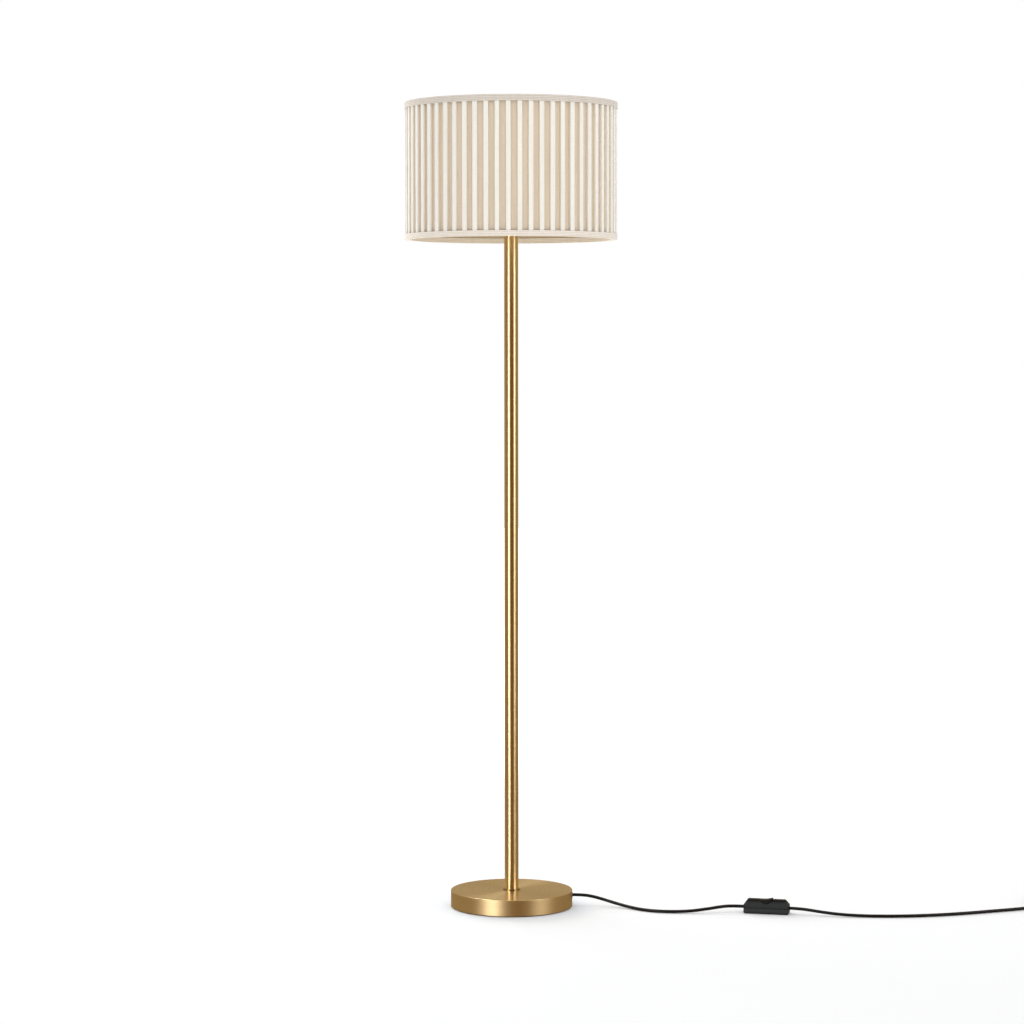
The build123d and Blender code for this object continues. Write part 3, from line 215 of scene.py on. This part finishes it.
brass_tone = (0.78, 0.61, 0.34)
# The collar is a darker copy of the brass: painted shade and painted dark reflection on the small
# ring
collar_shaded_tone = (0.40, 0.29, 0.14)
# Height over which the foot is turned finer, and the roughness there
foot_face = (0.0311, 0.26)
brass_pole = turned_brass("brass_pole", brass_tone, 0.33, 0.82)
brass_foot = turned_brass("brass_foot", brass_tone, 0.50, 0.7, face=foot_face)
shaded_brass_collar = turned_brass("shaded_brass_collar", collar_shaded_tone, 0.30, 0.8)


def moulded_with_painted_shade(name, tone, roughness, painted_shades):
    """Black plastic with painted shade: darker at its sole, in the gap of its seam and up its top,
    with painted dark reflections on its rounded edges.

    The painted shade is given as heights up the piece, each with its share of the tone.
    """
    made = new_material(name, tone, roughness, [("Specular IOR Level", 0.05)])
    tree = Tree(made)
    where = tree.place()
    height = tree.add("ShaderNodeSeparateXYZ", [], [(0, where)]).outputs[2]
    highest = painted_shades[-1][0]
    ramp = tree.add("ShaderNodeValToRGB", [], [("Fac", tree.math("DIVIDE", height, highest))])
    for level, _ in painted_shades[1:-1]:
        ramp.color_ramp.elements.new(level / highest)
    for element, (level, amount) in zip(ramp.color_ramp.elements, painted_shades):
        element.color = (*[amount * v for v in tone], 1)
    tree.color(ramp.outputs[0])
    tree.bump(tree.speckle(where, 2600), 0.3, grain_depth)
    return made


# The switch's heights, each with its share of the tone, as painted shade: dark at the sole's edge,
# in the gap of the seam between the halves and up the top, with painted dark reflections at the
# top's rounded edges
switch_painted_shade = [
    (0.0, 0.15), (0.0012, 0.2), (0.0024, 0.9), (0.0095, 1.1), (0.0103, 0.4), (0.0113, 0.4),
    (0.0121, 0.9), (0.0190, 0.85), (0.0225, 0.6), (0.0245, 0.2), (0.0260, 0.15),
]

looks = {
    "felt": grained("felt", (0.012,) * 3, (0.022,) * 3, 0.9, 3000, 0.6,
                    [("Sheen Weight", 0.4), ("Sheen Roughness", 0.5)]),
    "zinc_plate": grained("zinc_plate", (0.42, 0.44, 0.46), (0.5, 0.51, 0.52), 0.35, 700, 0.1,
                          [("Metallic", 1.0)]),
    "steel": grained("steel", (0.5, 0.5, 0.5), (0.6, 0.6, 0.6), 0.3, 900, 0.1,
                     [("Metallic", 1.0)]),
    "iron": grained("iron", (0.02,) * 3, (0.035,) * 3, 0.75, 900, 0.8),
    "brass": brass_pole,
    "black_plastic": grained("black_plastic", (0.012,) * 3, (0.017,) * 3, 0.45, 2500, 0.15),
    "black_rubber": grained("black_rubber", (0.014,) * 3, (0.02,) * 3, 0.6, 2500, 0.15),
    "lead_sheath": grained("lead_sheath", (0.004, 0.004, 0.0045), (0.006, 0.006, 0.0065), 0.42,
                           1800, 0.05, [("Specular IOR Level", 0.25)]),
    "phenolic": grained("phenolic", (0.012, 0.011, 0.010), (0.018, 0.016, 0.014), 0.25, 600,
                        0.05),
    "contact_brass": grained("contact_brass", (0.72, 0.52, 0.24), (0.8, 0.6, 0.3), 0.3, 900,
                             0.1, [("Metallic", 1.0)]),
    "core_insulation": grained("core_insulation", (0.08, 0.03, 0.012), (0.11, 0.042, 0.017),
                               0.45, 1500, 0.05),
    "ceramic": grained("ceramic", (0.76, 0.74, 0.68), (0.82, 0.8, 0.75), 0.2, 500, 0.05),
    "bulb_metal": grained("bulb_metal", (0.68, 0.68, 0.68), (0.76, 0.76, 0.76), 0.3, 1200, 0.1,
                          [("Metallic", 1.0)]),
    "bulb_insulation": grained("bulb_insulation", (0.01,) * 3, (0.015,) * 3, 0.15, 600, 0.05),
    "bulb_glass": new_material("bulb_glass", (0.98, 0.98, 0.97), 0.02,
                               [("Transmission Weight", 1.0), ("IOR", 1.2)]),
    "phosphor": grained("phosphor", (0.85, 0.6, 0.12), (0.9, 0.68, 0.18), 0.7, 2500, 0.4),
    "white_metal": grained("white_metal", (0.72, 0.71, 0.67), (0.77, 0.76, 0.72), 0.4, 2000,
                           0.15),
    "tie_plastic": grained("tie_plastic", (0.015,) * 3, (0.022,) * 3, 0.5, 1500, 0.1),
    # The switch's plastic carries painted shade and painted dark reflections up its height
    "switch_plastic": moulded_with_painted_shade("switch_plastic", (0.038, 0.039, 0.040), 0.42, switch_painted_shade),
    "rocker_plastic": grained("rocker_plastic", (0.009, 0.009, 0.010), (0.012, 0.012, 0.013),
                              0.34, 2600, 0.15, [("Specular IOR Level", 0.1)]),
    "plug_plastic": grained("plug_plastic", (0.011, 0.011, 0.012), (0.016, 0.016, 0.017), 0.42,
                            2600, 0.2),
    "nickel_plate": grained("nickel_plate", (0.62, 0.6, 0.56), (0.7, 0.68, 0.64), 0.16, 900,
                            0.05, [("Metallic", 1.0)]),
}


# A wave texture of this scale repeats about once a metre
metre_wave = 0.31
slub_stretch = (40, 700, 1)
streak_stretch = (150, 150, 6)
thread = 0.0006
weave_bump = 0.35
weave_depth = 0.0003


def woven(name, low, high, painted_shade, ribs=0.0):
    """Cloth with a plain weave in its own UV map, which is in metres.

    The painted shade gives the deep and the shallow radius of its dips, and the tint painted into
    them for their shade and warm bounced light. Ribs run along it.
    """
    made = new_material(name, low, 0.88, [
        ("Sheen Weight", 0.15),
        ("Sheen Roughness", 0.5),
        ("Specular IOR Level", 0.25),
    ])
    tree = Tree(made)
    where = tree.place(output="UV")
    warp = tree.bands(where, metre_wave / thread, "X", 0.6)
    weft = tree.bands(where, metre_wave / thread, "Y", 0.6)
    slubs = tree.speckle(tree.place(slub_stretch, "UV"), 1.0, 3)
    streaks = tree.speckle(tree.place(streak_stretch), 1.0, 2)
    tone = tree.math("ADD", tree.math("MULTIPLY", slubs, 0.4), tree.math("MULTIPLY", streaks, 0.6))
    height = tree.math("MULTIPLY", warp, weft)
    if ribs:
        rib = tree.bands(where, metre_wave / ribs, "Y", 0.3)
        height = tree.math("ADD", tree.math("MULTIPLY", height, 0.3), rib)
        tone = tree.math("ADD", tree.math("MULTIPLY", tone, 0.5), tree.math("MULTIPLY", rib, 0.5))
    deep, shallow, shade_tint = painted_shade
    flat = tree.place((1, 1, 0))
    radius = tree.add("ShaderNodeVectorMath", [("operation", "LENGTH")], [(0, flat)])
    # Painted shade: the tone darkens and warms from the shallow radius to the deep one
    recess_shade = tree.add("ShaderNodeMapRange", [], [
        ("Value", radius.outputs["Value"]),
        ("From Min", shallow),
        ("From Max", deep),
    ]).outputs[0]
    shaded_tone = tree.add("ShaderNodeMix", [("data_type", "RGBA"), ("blend_type", "MULTIPLY")])
    tree.links.new(recess_shade, shaded_tone.inputs["Factor"])
    tree.links.new(tree.ramp(tone, low, high), shaded_tone.inputs[6])
    shaded_tone.inputs[7].default_value = (*shade_tint, 1)
    tree.color(shaded_tone.outputs[2])
    tree.bump(height, weave_bump, weave_depth)
    return made


# Painted shade in the pleats' recesses: darker and warmer towards their floor
pleat_painted_shade = (0.1945, 0.1990, (0.86, 0.75, 0.635))
# Painted shade on the bands' inside faces, in the hollow of the shade
band_inside_painted_shade = (0.1885, 0.1990, (0.98, 0.93, 0.84))
band_rib = 0.0030
looks |= {
    "shade_fabric": woven("shade_fabric", (0.645, 0.615, 0.555), (0.765, 0.735, 0.67), pleat_painted_shade),
    "band_fabric": woven("band_fabric", (0.54, 0.49, 0.425), (0.72, 0.655, 0.575), band_inside_painted_shade,
                         band_rib),
    # Painted shade: the top band is a darker copy of the band's fabric, for the less light it gets
    "top_band_shaded_fabric": woven("top_band_shaded_fabric", (0.43, 0.385, 0.335), (0.60, 0.54, 0.475),
                             band_inside_painted_shade, band_rib),
    "shade_lining": grained("shade_lining", (0.575, 0.455, 0.275), (0.63, 0.50, 0.305), 0.5, 900,
                            0.1),
}

slots = {row["node"]: row["material_slot"] for row in frame["record"]["subparts"]}
for name, node in nodes.items():
    node.data.materials.clear()
    node.data.materials.append(looks[slots[name]])
for name, look in (("foot_cover", brass_foot), ("foot_collar", shaded_brass_collar)):
    nodes[name].data.materials.clear()
    nodes[name].data.materials.append(look)


def piece(name, mesh, look, body):
    """An object of the scene, with its look, that rides on a body.
    """
    made = bpy.data.objects.new(name, mesh)
    bpy.context.collection.objects.link(made)
    made.data.materials.append(looks[look])
    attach(made, body)
    return made


# Lead: sizes and points in millimetres, as in the part's source, and one spline for each stretch
lead_radius = 3.0
lead_roundness = 6
lead_steps = 10
switch_place = Vector((480.4, -73.5, 0))
switch_turn = math.radians(-13)
switch_half = 42.5
switch_entry = 10.8
switch_run = 22
plug_place = Vector((1062.0, 92.0, 6.85))
plug_turn = math.radians(102)
plug_run = 20
coil_centre = Vector((1030.0, 19.0, 0))
coil_mean_radius = 33.0
coil_pitch = 6.8
coil_layer_turns = 2.35
coil_start_angle = -69.0
coil_bottom = 4.3
coil_points_per_turn = 16
coil_straight = 6
coil_run_in = 42
coil_bend_in = 12
coil_run_out = 18
layer_angle = 360 * coil_layer_turns
coil_angle = 2 * layer_angle + 180


def coil_point(angle, fullness=1.0):
    """The coil's centreline after an angle in degrees: inwards, up in half a turn, outwards."""
    climb = min(max((angle - layer_angle) / 180, 0), 1)
    turns_in = min(angle, layer_angle) / 360
    turns_out = max(angle - layer_angle - 180, 0) / 360
    radius = coil_mean_radius + coil_pitch * (coil_layer_turns / 2 - turns_in + turns_out)
    radius -= coil_pitch / 2 * (climb - climb**2)
    direction = math.radians(coil_start_angle + angle)
    return coil_centre + Vector((
        fullness * radius * math.cos(direction),
        fullness * radius * math.sin(direction),
        coil_bottom + coil_pitch * (3 * climb**2 - 2 * climb**3),
    ))


def coil_heading(angle):
    """The coil's direction at an angle."""
    small = 0.01
    return (coil_point(angle + small) - coil_point(angle - small)).normalized()


def lead(name, points, node_names):
    """A round lead along a smooth curve through the route's points."""
    curve = bpy.data.curves.new(name, "CURVE")
    curve.dimensions = "3D"
    curve.bevel_depth = lead_radius / 1000
    curve.bevel_resolution = lead_roundness
    curve.resolution_u = lead_steps
    curve.use_fill_caps = True
    spline = curve.splines.new("NURBS")
    spline.points.add(len(points) - 1)
    for control, point in zip(spline.points, points):
        control.co = (*(Vector(point) / 1000), 1)
    spline.order_u = 3
    spline.use_endpoint_u = True
    made = piece(name, curve, "lead_sheath", "stand")
    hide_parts(*node_names)
    return made


along = Vector((math.cos(switch_turn), math.sin(switch_turn), 0))
plug_along = Vector((math.cos(plug_turn), math.sin(plug_turn), 0))
switch_in = switch_place - along * switch_half + Vector((0, 0, switch_entry))
switch_out = switch_place + along * switch_half + Vector((0, 0, switch_entry))
first_lead = lead("lead_first", [
    (116.5, 0, 21.3),
    (136, 0, 21.3),
    (158, -1, 17.6),
    (180, -5, 11.6),
    (203, -16.5, 6.4),
    (228, -36, 3),
    (258, -64.5, 3),
    (296, -76, 3),
    (334, -75.5, 3.6),
    (372, -72.5, 8),
    (398, -66.5, 11.2),
    switch_in - along * switch_run,
    switch_in,
], ["lead_to_switch"])

# A quadratic spline runs inside its points, so the coil's points lie wider by the fullness
coil_steps = round(coil_points_per_turn * coil_angle / 360)
fullness = 1 / (0.75 + 0.25 * math.cos(2 * math.pi / coil_points_per_turn))
coil_start = coil_point(0) - coil_heading(0) * coil_straight
coil_end = coil_point(coil_angle) + coil_heading(coil_angle) * coil_straight
second_lead = lead("lead_second", [
    switch_out,
    switch_out + along * switch_run,
    (576, -100, 7.4),
    (612, -111.5, 4.4),
    (652, -117.8, 3),
    (700, -122.2, 3),
    (752, -118.8, 3),
    (806, -108, 3),
    (860, -90.5, 3),
    (908, -71, 3),
    (950, -54.6, 3),
    coil_start - coil_heading(0) * coil_run_in,
    coil_start - coil_heading(0) * coil_bend_in,
    *[coil_point(coil_angle * k / coil_steps, fullness) for k in range(coil_steps + 1)],
    coil_end + coil_heading(coil_angle) * coil_run_out,
    plug_place - plug_along * plug_run,
    plug_place,
], ["lead_to_coil", "lead_coil", "lead_to_plug"])

# Shade cloth: one strip in box pleats, with rounded shoulders and small differences.
# Pleat_drift is a share of the pitch, pleat_widths of the width, heel_share of half of it, and
# recess_gap an angle.
shade_bottom = 1.2665
shade_top = 1.5231
cloth_inset = 0.0006
cloth_low = shade_bottom + cloth_inset
cloth_high = shade_top - cloth_inset
cloth_levels = 28
cloth_thickness = 0.0005
pleat_count = 60
pleat_radius = 0.1998
pleat_floor = 0.1940
pleat_width = 0.0084
side_run = 0.0009
first_angle = math.radians(-91.45)
shoulder = 0.0009
shoulder_steps = 3
heel_share = 0.18
recess_gap = 0.0006
pleat_drift = 0.018
pleat_widths = (0.94, 1.08)
drift_depth = 0.00015
ripple_depth = 0.00006
sway_depth = 0.00016


def rounded(points, radius, steps):
    """A polyline in a plane with its corners rounded."""
    made = [points[0]]
    for before, here, after in zip(points, points[1:], points[2:]):
        back = before - here
        ahead = after - here
        reach = min(radius, 0.45 * back.length, 0.45 * ahead.length)
        start = here + back.normalized() * reach
        end = here + ahead.normalized() * reach
        for k in range(steps + 1):
            t = k / steps
            made.append((1 - t) ** 2 * start + 2 * t * (1 - t) * here + t**2 * end)
    return made + [points[-1]]


def strip_mesh(name, rows, unfolded, heights):
    """A grid of quads from rows of points that close round, with a UV map in metres."""
    count = len(rows[0])
    mesh = bpy.data.meshes.new(name)
    faces = []
    for r in range(len(rows) - 1):
        for k in range(count):
            after = (k + 1) % count
            faces.append((r * count + k, r * count + after,
                          (r + 1) * count + after, (r + 1) * count + k))
    mesh.from_pydata([p for row in rows for p in row], [], faces)
    uv = mesh.uv_layers.new(name="metres")
    for face in mesh.polygons:
        face.use_smooth = True
        for corner in face.loop_indices:
            vertex = mesh.loops[corner].vertex_index
            row, k = divmod(vertex, count)
            across = unfolded[k]
            if k == 0 and max(v % count for v in face.vertices) == count - 1:
                across = unfolded[-1] + (unfolded[1] - unfolded[0])
            uv.data[corner].uv = (across, heights[row])
    return mesh


def wander(point, z, around, up, start=0):
    """Smooth noise over the shade, between -1 and 1, that swings faster with around and up."""
    return noise.noise(Vector((point.x * around + start, point.y * around, z * up)))


step = 2 * math.pi / pleat_count
outline = []
for pleat in range(pleat_count):
    middle = first_angle + (pleat + random.uniform(-pleat_drift, pleat_drift)) * step
    half = pleat_width / 2 / pleat_radius * random.uniform(*pleat_widths)
    run = side_run / pleat_radius
    turning_points = [
        (middle - half - run - heel_share * half, pleat_floor),
        (middle - half - run, pleat_floor),
        (middle - half, pleat_radius),
        (middle - 0.5 * half, pleat_radius),
        (middle, pleat_radius),
        (middle + 0.5 * half, pleat_radius),
        (middle + half, pleat_radius),
        (middle + half + run, pleat_floor),
        (middle + half + run + heel_share * half, pleat_floor),
        (middle + step / 2 - recess_gap, pleat_floor),
    ]
    corners = [Vector((r * math.cos(a), r * math.sin(a), 0)) for a, r in turning_points]
    outline += rounded(corners, shoulder, shoulder_steps)[0 if pleat == 0 else 1:]
lengths = [0.0]
for before, after in zip(outline, outline[1:]):
    lengths.append(lengths[-1] + (after - before).length)
cloth_rows = []
cloth_heights = []
for level in range(cloth_levels + 1):
    z = cloth_low + (cloth_high - cloth_low) * level / cloth_levels
    # The cloth is held at the bands, and free between them
    free = 1 - (2 * level / cloth_levels - 1) ** 8
    row = []
    for point in outline:
        drift = wander(point, z, 9, 5)
        ripple = wander(point, z, 60, 9)
        radial = -cloth_thickness / 2 + free * (drift_depth * drift + ripple_depth * ripple)
        sideways = free * sway_depth * wander(point, z, 40, 11, 7)
        out = point.normalized()
        row.append(point + out * radial + Vector((-out.y, out.x, 0)) * sideways
                   + Vector((0, 0, z)))
    cloth_rows.append(row)
    cloth_heights.append(z)
cloth_mesh = strip_mesh("pleated_cloth", cloth_rows, lengths, cloth_heights)
pleated_cloth = piece("pleated_cloth", cloth_mesh, "shade_fabric", "shade")
thick = pleated_cloth.modifiers.new("thickness", "SOLIDIFY")
thick.thickness = cloth_thickness
thick.offset = -1
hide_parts("pleated_fabric")


# Bands: ribbon folded over each edge of the shade, a little smaller than the CAD's rings, with
# soft waves and a lapped end at the back
band_outer = 0.2005
band_inner = 0.1876
band_between = 0.195
band_thin = 0.0005
band_steps = 480
band_shrink = 0.00015
band_wave = 0.00012
edge_reach = 0.001
edge_rise = 0.0001
edge_wave = 0.00015
ribbon_radius = 0.2
ribbon_step = 0.0015
ribbon_fold = 0.0004
ribbon_fold_steps = 2
weld_reach = 0.00001
lap_steps = 3
lap_rise = 0.00012
inside_share = 0.95
bottom_band_height = 0.0105
top_band_height = 0.0120


def band(name, edge, height, look, node):
    """A folded ribbon. Height is negative for the one at the top."""
    inner, outer, thin = band_inner, band_outer, band_thin
    up = math.copysign(1, height)
    profile = [
        Vector((inner + thin, 0, edge + height * inside_share)),
        Vector((inner, 0, edge + height * inside_share)),
        Vector((inner, 0, edge)),
        Vector((outer, 0, edge)),
        Vector((outer, 0, edge + height)),
        Vector((outer - thin, 0, edge + height)),
        Vector((outer - thin, 0, edge + up * thin)),
        Vector((inner + thin, 0, edge + up * thin)),
        Vector((inner + thin, 0, edge + height * inside_share)),
    ]
    fine = [profile[0]]
    for before, after in zip(profile, profile[1:]):
        parts = max(1, round((after - before).length / ribbon_step))
        fine += [before.lerp(after, k / parts) for k in range(1, parts + 1)]
    smooth = rounded(fine, ribbon_fold, ribbon_fold_steps)[:-1]
    rows = []
    reach = []
    total = 0.0
    for k, point in enumerate(smooth):
        row = []
        side = 1 if point.x > band_between else -1
        at_edge = abs(point.z - edge) < edge_reach
        for turn in range(band_steps):
            angle = 2 * math.pi * turn / band_steps + math.pi / 2
            wave = noise.noise(Vector((math.cos(angle) * 9, math.sin(angle) * 9, edge)))
            lap = 0.0 if lap_steps < turn < band_steps - lap_steps + 1 else lap_rise
            radius = point.x - band_shrink + band_wave * wave * side
            radius += lap * side
            z = point.z + (up * (edge_rise + edge_wave * abs(wave)) if at_edge else 0)
            row.append(Vector((radius * math.cos(angle), radius * math.sin(angle), z)))
        rows.append(row)
        if k:
            total += (point - smooth[k - 1]).length
        reach.append(total)
    rows.append(rows[0])
    reach.append(total + thin)
    around = [2 * math.pi * ribbon_radius * turn / band_steps for turn in range(band_steps)]
    mesh = strip_mesh(name, rows, around, reach)
    made = piece(name, mesh, look, "shade")
    weld = made.modifiers.new("weld", "WELD")
    weld.merge_threshold = weld_reach
    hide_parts(node)
    return made


band("band_bottom", shade_bottom, bottom_band_height, "band_fabric", "bottom_band")
band("band_top", shade_top, -top_band_height, "top_band_shaded_fabric", "top_band")

# Floor: it glows to white far away. Near the foot it is bluer, against the warm light off the
# brass. Reaches are distances from the lamp's axis, where a change begins and ends.
floor_half = 12
floor_level = -0.0002
floor_far_tone = (0.824, 0.83, 0.837)
floor_near_tone = (0.762, 0.81, 0.870)
near_reach = (0.17, 0.12)
glow_reach = (1.4, 2.6)
floor_mesh = bpy.data.meshes.new("floor")
floor_mesh.from_pydata([
    (floor_half * x, floor_half * y, floor_level) for x, y in ((-1, -1), (1, -1), (1, 1), (-1, 1))
], [], [(0, 1, 2, 3)])
floor = bpy.data.objects.new("floor", floor_mesh)
bpy.context.collection.objects.link(floor)
floor_look = new_material("floor", floor_far_tone, 0.9, [("Emission Color", (1, 1, 1, 1))])
tree = Tree(floor_look)
far = tree.add("ShaderNodeVectorMath", [("operation", "LENGTH")], [(0, tree.place())])
near = tree.add("ShaderNodeMapRange", [], [
    ("Value", far.outputs["Value"]),
    ("From Min", near_reach[0]),
    ("From Max", near_reach[1]),
])
pale = tree.add("ShaderNodeMix", [("data_type", "RGBA")])
tree.links.new(near.outputs[0], pale.inputs["Factor"])
pale.inputs[6].default_value = (*floor_far_tone, 1)
pale.inputs[7].default_value = (*floor_near_tone, 1)
tree.color(pale.outputs[2])
glow = tree.add("ShaderNodeMapRange", [("interpolation_type", "SMOOTHSTEP")], [
    ("Value", far.outputs["Value"]),
    ("From Min", glow_reach[0]),
    ("From Max", glow_reach[1]),
])
tree.links.new(glow.outputs[0], tree.shader.inputs["Emission Strength"])
floor.data.materials.append(floor_look)
floor.visible_glossy = False
floor.visible_shadow = False

# World: white behind the lamp, even light on what is matt, and warm walls for brass to mirror.
# The walls have a tone for before the lamp and one for behind it, and change over these turns.
even_strength = 0.8
behind_turn = (-0.85, 0.2)
above_turn = (-0.15, 0.05)
low_wall_tones = ((0.21, 0.11, 0.025), (0.28, 0.20, 0.105))
high_wall_tones = ((0.118, 0.055, 0.005), (0.43, 0.335, 0.20))
world = bpy.data.worlds.new("studio")
bpy.context.scene.world = world
world.use_nodes = True
world.cycles.sampling_method = "NONE"
tree = world.node_tree
shown = tree.nodes["Background"]
shown.inputs["Color"].default_value = (1, 1, 1, 1)
shown.inputs["Strength"].default_value = 1.0
even = tree.nodes.new("ShaderNodeBackground")
even.inputs["Color"].default_value = (1, 1, 1, 1)
even.inputs["Strength"].default_value = even_strength
mirrored = tree.nodes.new("ShaderNodeBackground")
way = tree.nodes.new("ShaderNodeTexCoord")
parts = tree.nodes.new("ShaderNodeSeparateXYZ")
tree.links.new(way.outputs["Generated"], parts.inputs[0])


def share(value, low, high):
    """How far a value has come from low to high, from 0 to 1."""
    node = tree.nodes.new("ShaderNodeMapRange")
    node.inputs["From Min"].default_value = low
    node.inputs["From Max"].default_value = high
    tree.links.new(value, node.inputs["Value"])
    return node.outputs[0]


def mixed(factor, first, second):
    """A colour between two colours or outputs."""
    node = tree.nodes.new("ShaderNodeMix")
    node.data_type = "RGBA"
    tree.links.new(factor, node.inputs["Factor"])
    for socket, value in ((6, first), (7, second)):
        if hasattr(value, "is_output"):
            tree.links.new(value, node.inputs[socket])
        else:
            node.inputs[socket].default_value = (*value, 1)
    return node.outputs[2]


behind = share(parts.outputs["Y"], *behind_turn)
above = share(parts.outputs["Z"], *above_turn)
low_walls = mixed(behind, *low_wall_tones)
high_walls = mixed(behind, *high_wall_tones)
tree.links.new(mixed(above, low_walls, high_walls), mirrored.inputs["Color"])
seen = tree.nodes.new("ShaderNodeLightPath")
matt = tree.nodes.new("ShaderNodeMixShader")
tree.links.new(seen.outputs["Is Diffuse Ray"], matt.inputs[0])
tree.links.new(mirrored.outputs[0], matt.inputs[1])
tree.links.new(even.outputs[0], matt.inputs[2])
mix = tree.nodes.new("ShaderNodeMixShader")
tree.links.new(seen.outputs["Is Camera Ray"], mix.inputs[0])
tree.links.new(matt.outputs[0], mix.inputs[1])
tree.links.new(shown.outputs[0], mix.inputs[2])
tree.links.new(mix.outputs[0], tree.nodes["World Output"].inputs["Surface"])
bpy.context.scene.view_settings.view_transform = "Standard"


# Lights
def softbox(name, place, aim, size, power, lean=0):
    """A rectangular soft light. It may lean to a side, in degrees."""
    light = bpy.data.lights.new(name, "AREA")
    light.shape = "RECTANGLE"
    light.size, light.size_y = size
    light.energy = power
    made = bpy.data.objects.new(name, light)
    bpy.context.collection.objects.link(made)
    made.location = place
    turn = (Vector(aim) - Vector(place)).to_track_quat("-Z", "Y")
    made.rotation_euler = (turn @ Quaternion((0, 0, 1), math.radians(lean))).to_euler()
    return made


# The strips and the back light are only mirrored, the fill and backdrop only light what is matt
for strip in (
    softbox("strip_left", place=(-2.065, -2.176, 1.6), aim=(0, 0, 1.6), size=(0.9, 3.1),
            power=46, lean=3),
    softbox("strip_left_low", place=(-1.58, -2.55, -0.75), aim=(0, 0, -0.75), size=(1.0, 1.5),
            power=21),
    softbox("strip_right", place=(2.56, -1.57, 1.75), aim=(0, 0, 1.75), size=(1.35, 2.8),
            power=38, lean=-5),
    softbox("back_left", place=(-1.25, 1.4, 3.4), aim=(0, 0, 0.3), size=(1.2, 1.2), power=62),
):
    strip.visible_diffuse = False
softbox("overhead", place=(0.3, 0.3, 4.3), aim=(0.3, 0.3, 0), size=(3.6, 3.6), power=40)
for soft in (
    softbox("fill", place=(1.4, -4.3, 1.8), aim=(0, 0, 1.2), size=(2.5, 2.0), power=36),
    softbox("backdrop", place=(-2.3, 3.9, 1.6), aim=(0, 0, 0.3), size=(4.5, 3.0), power=220),
):
    soft.visible_glossy = False

bpy.context.view_layer.update()
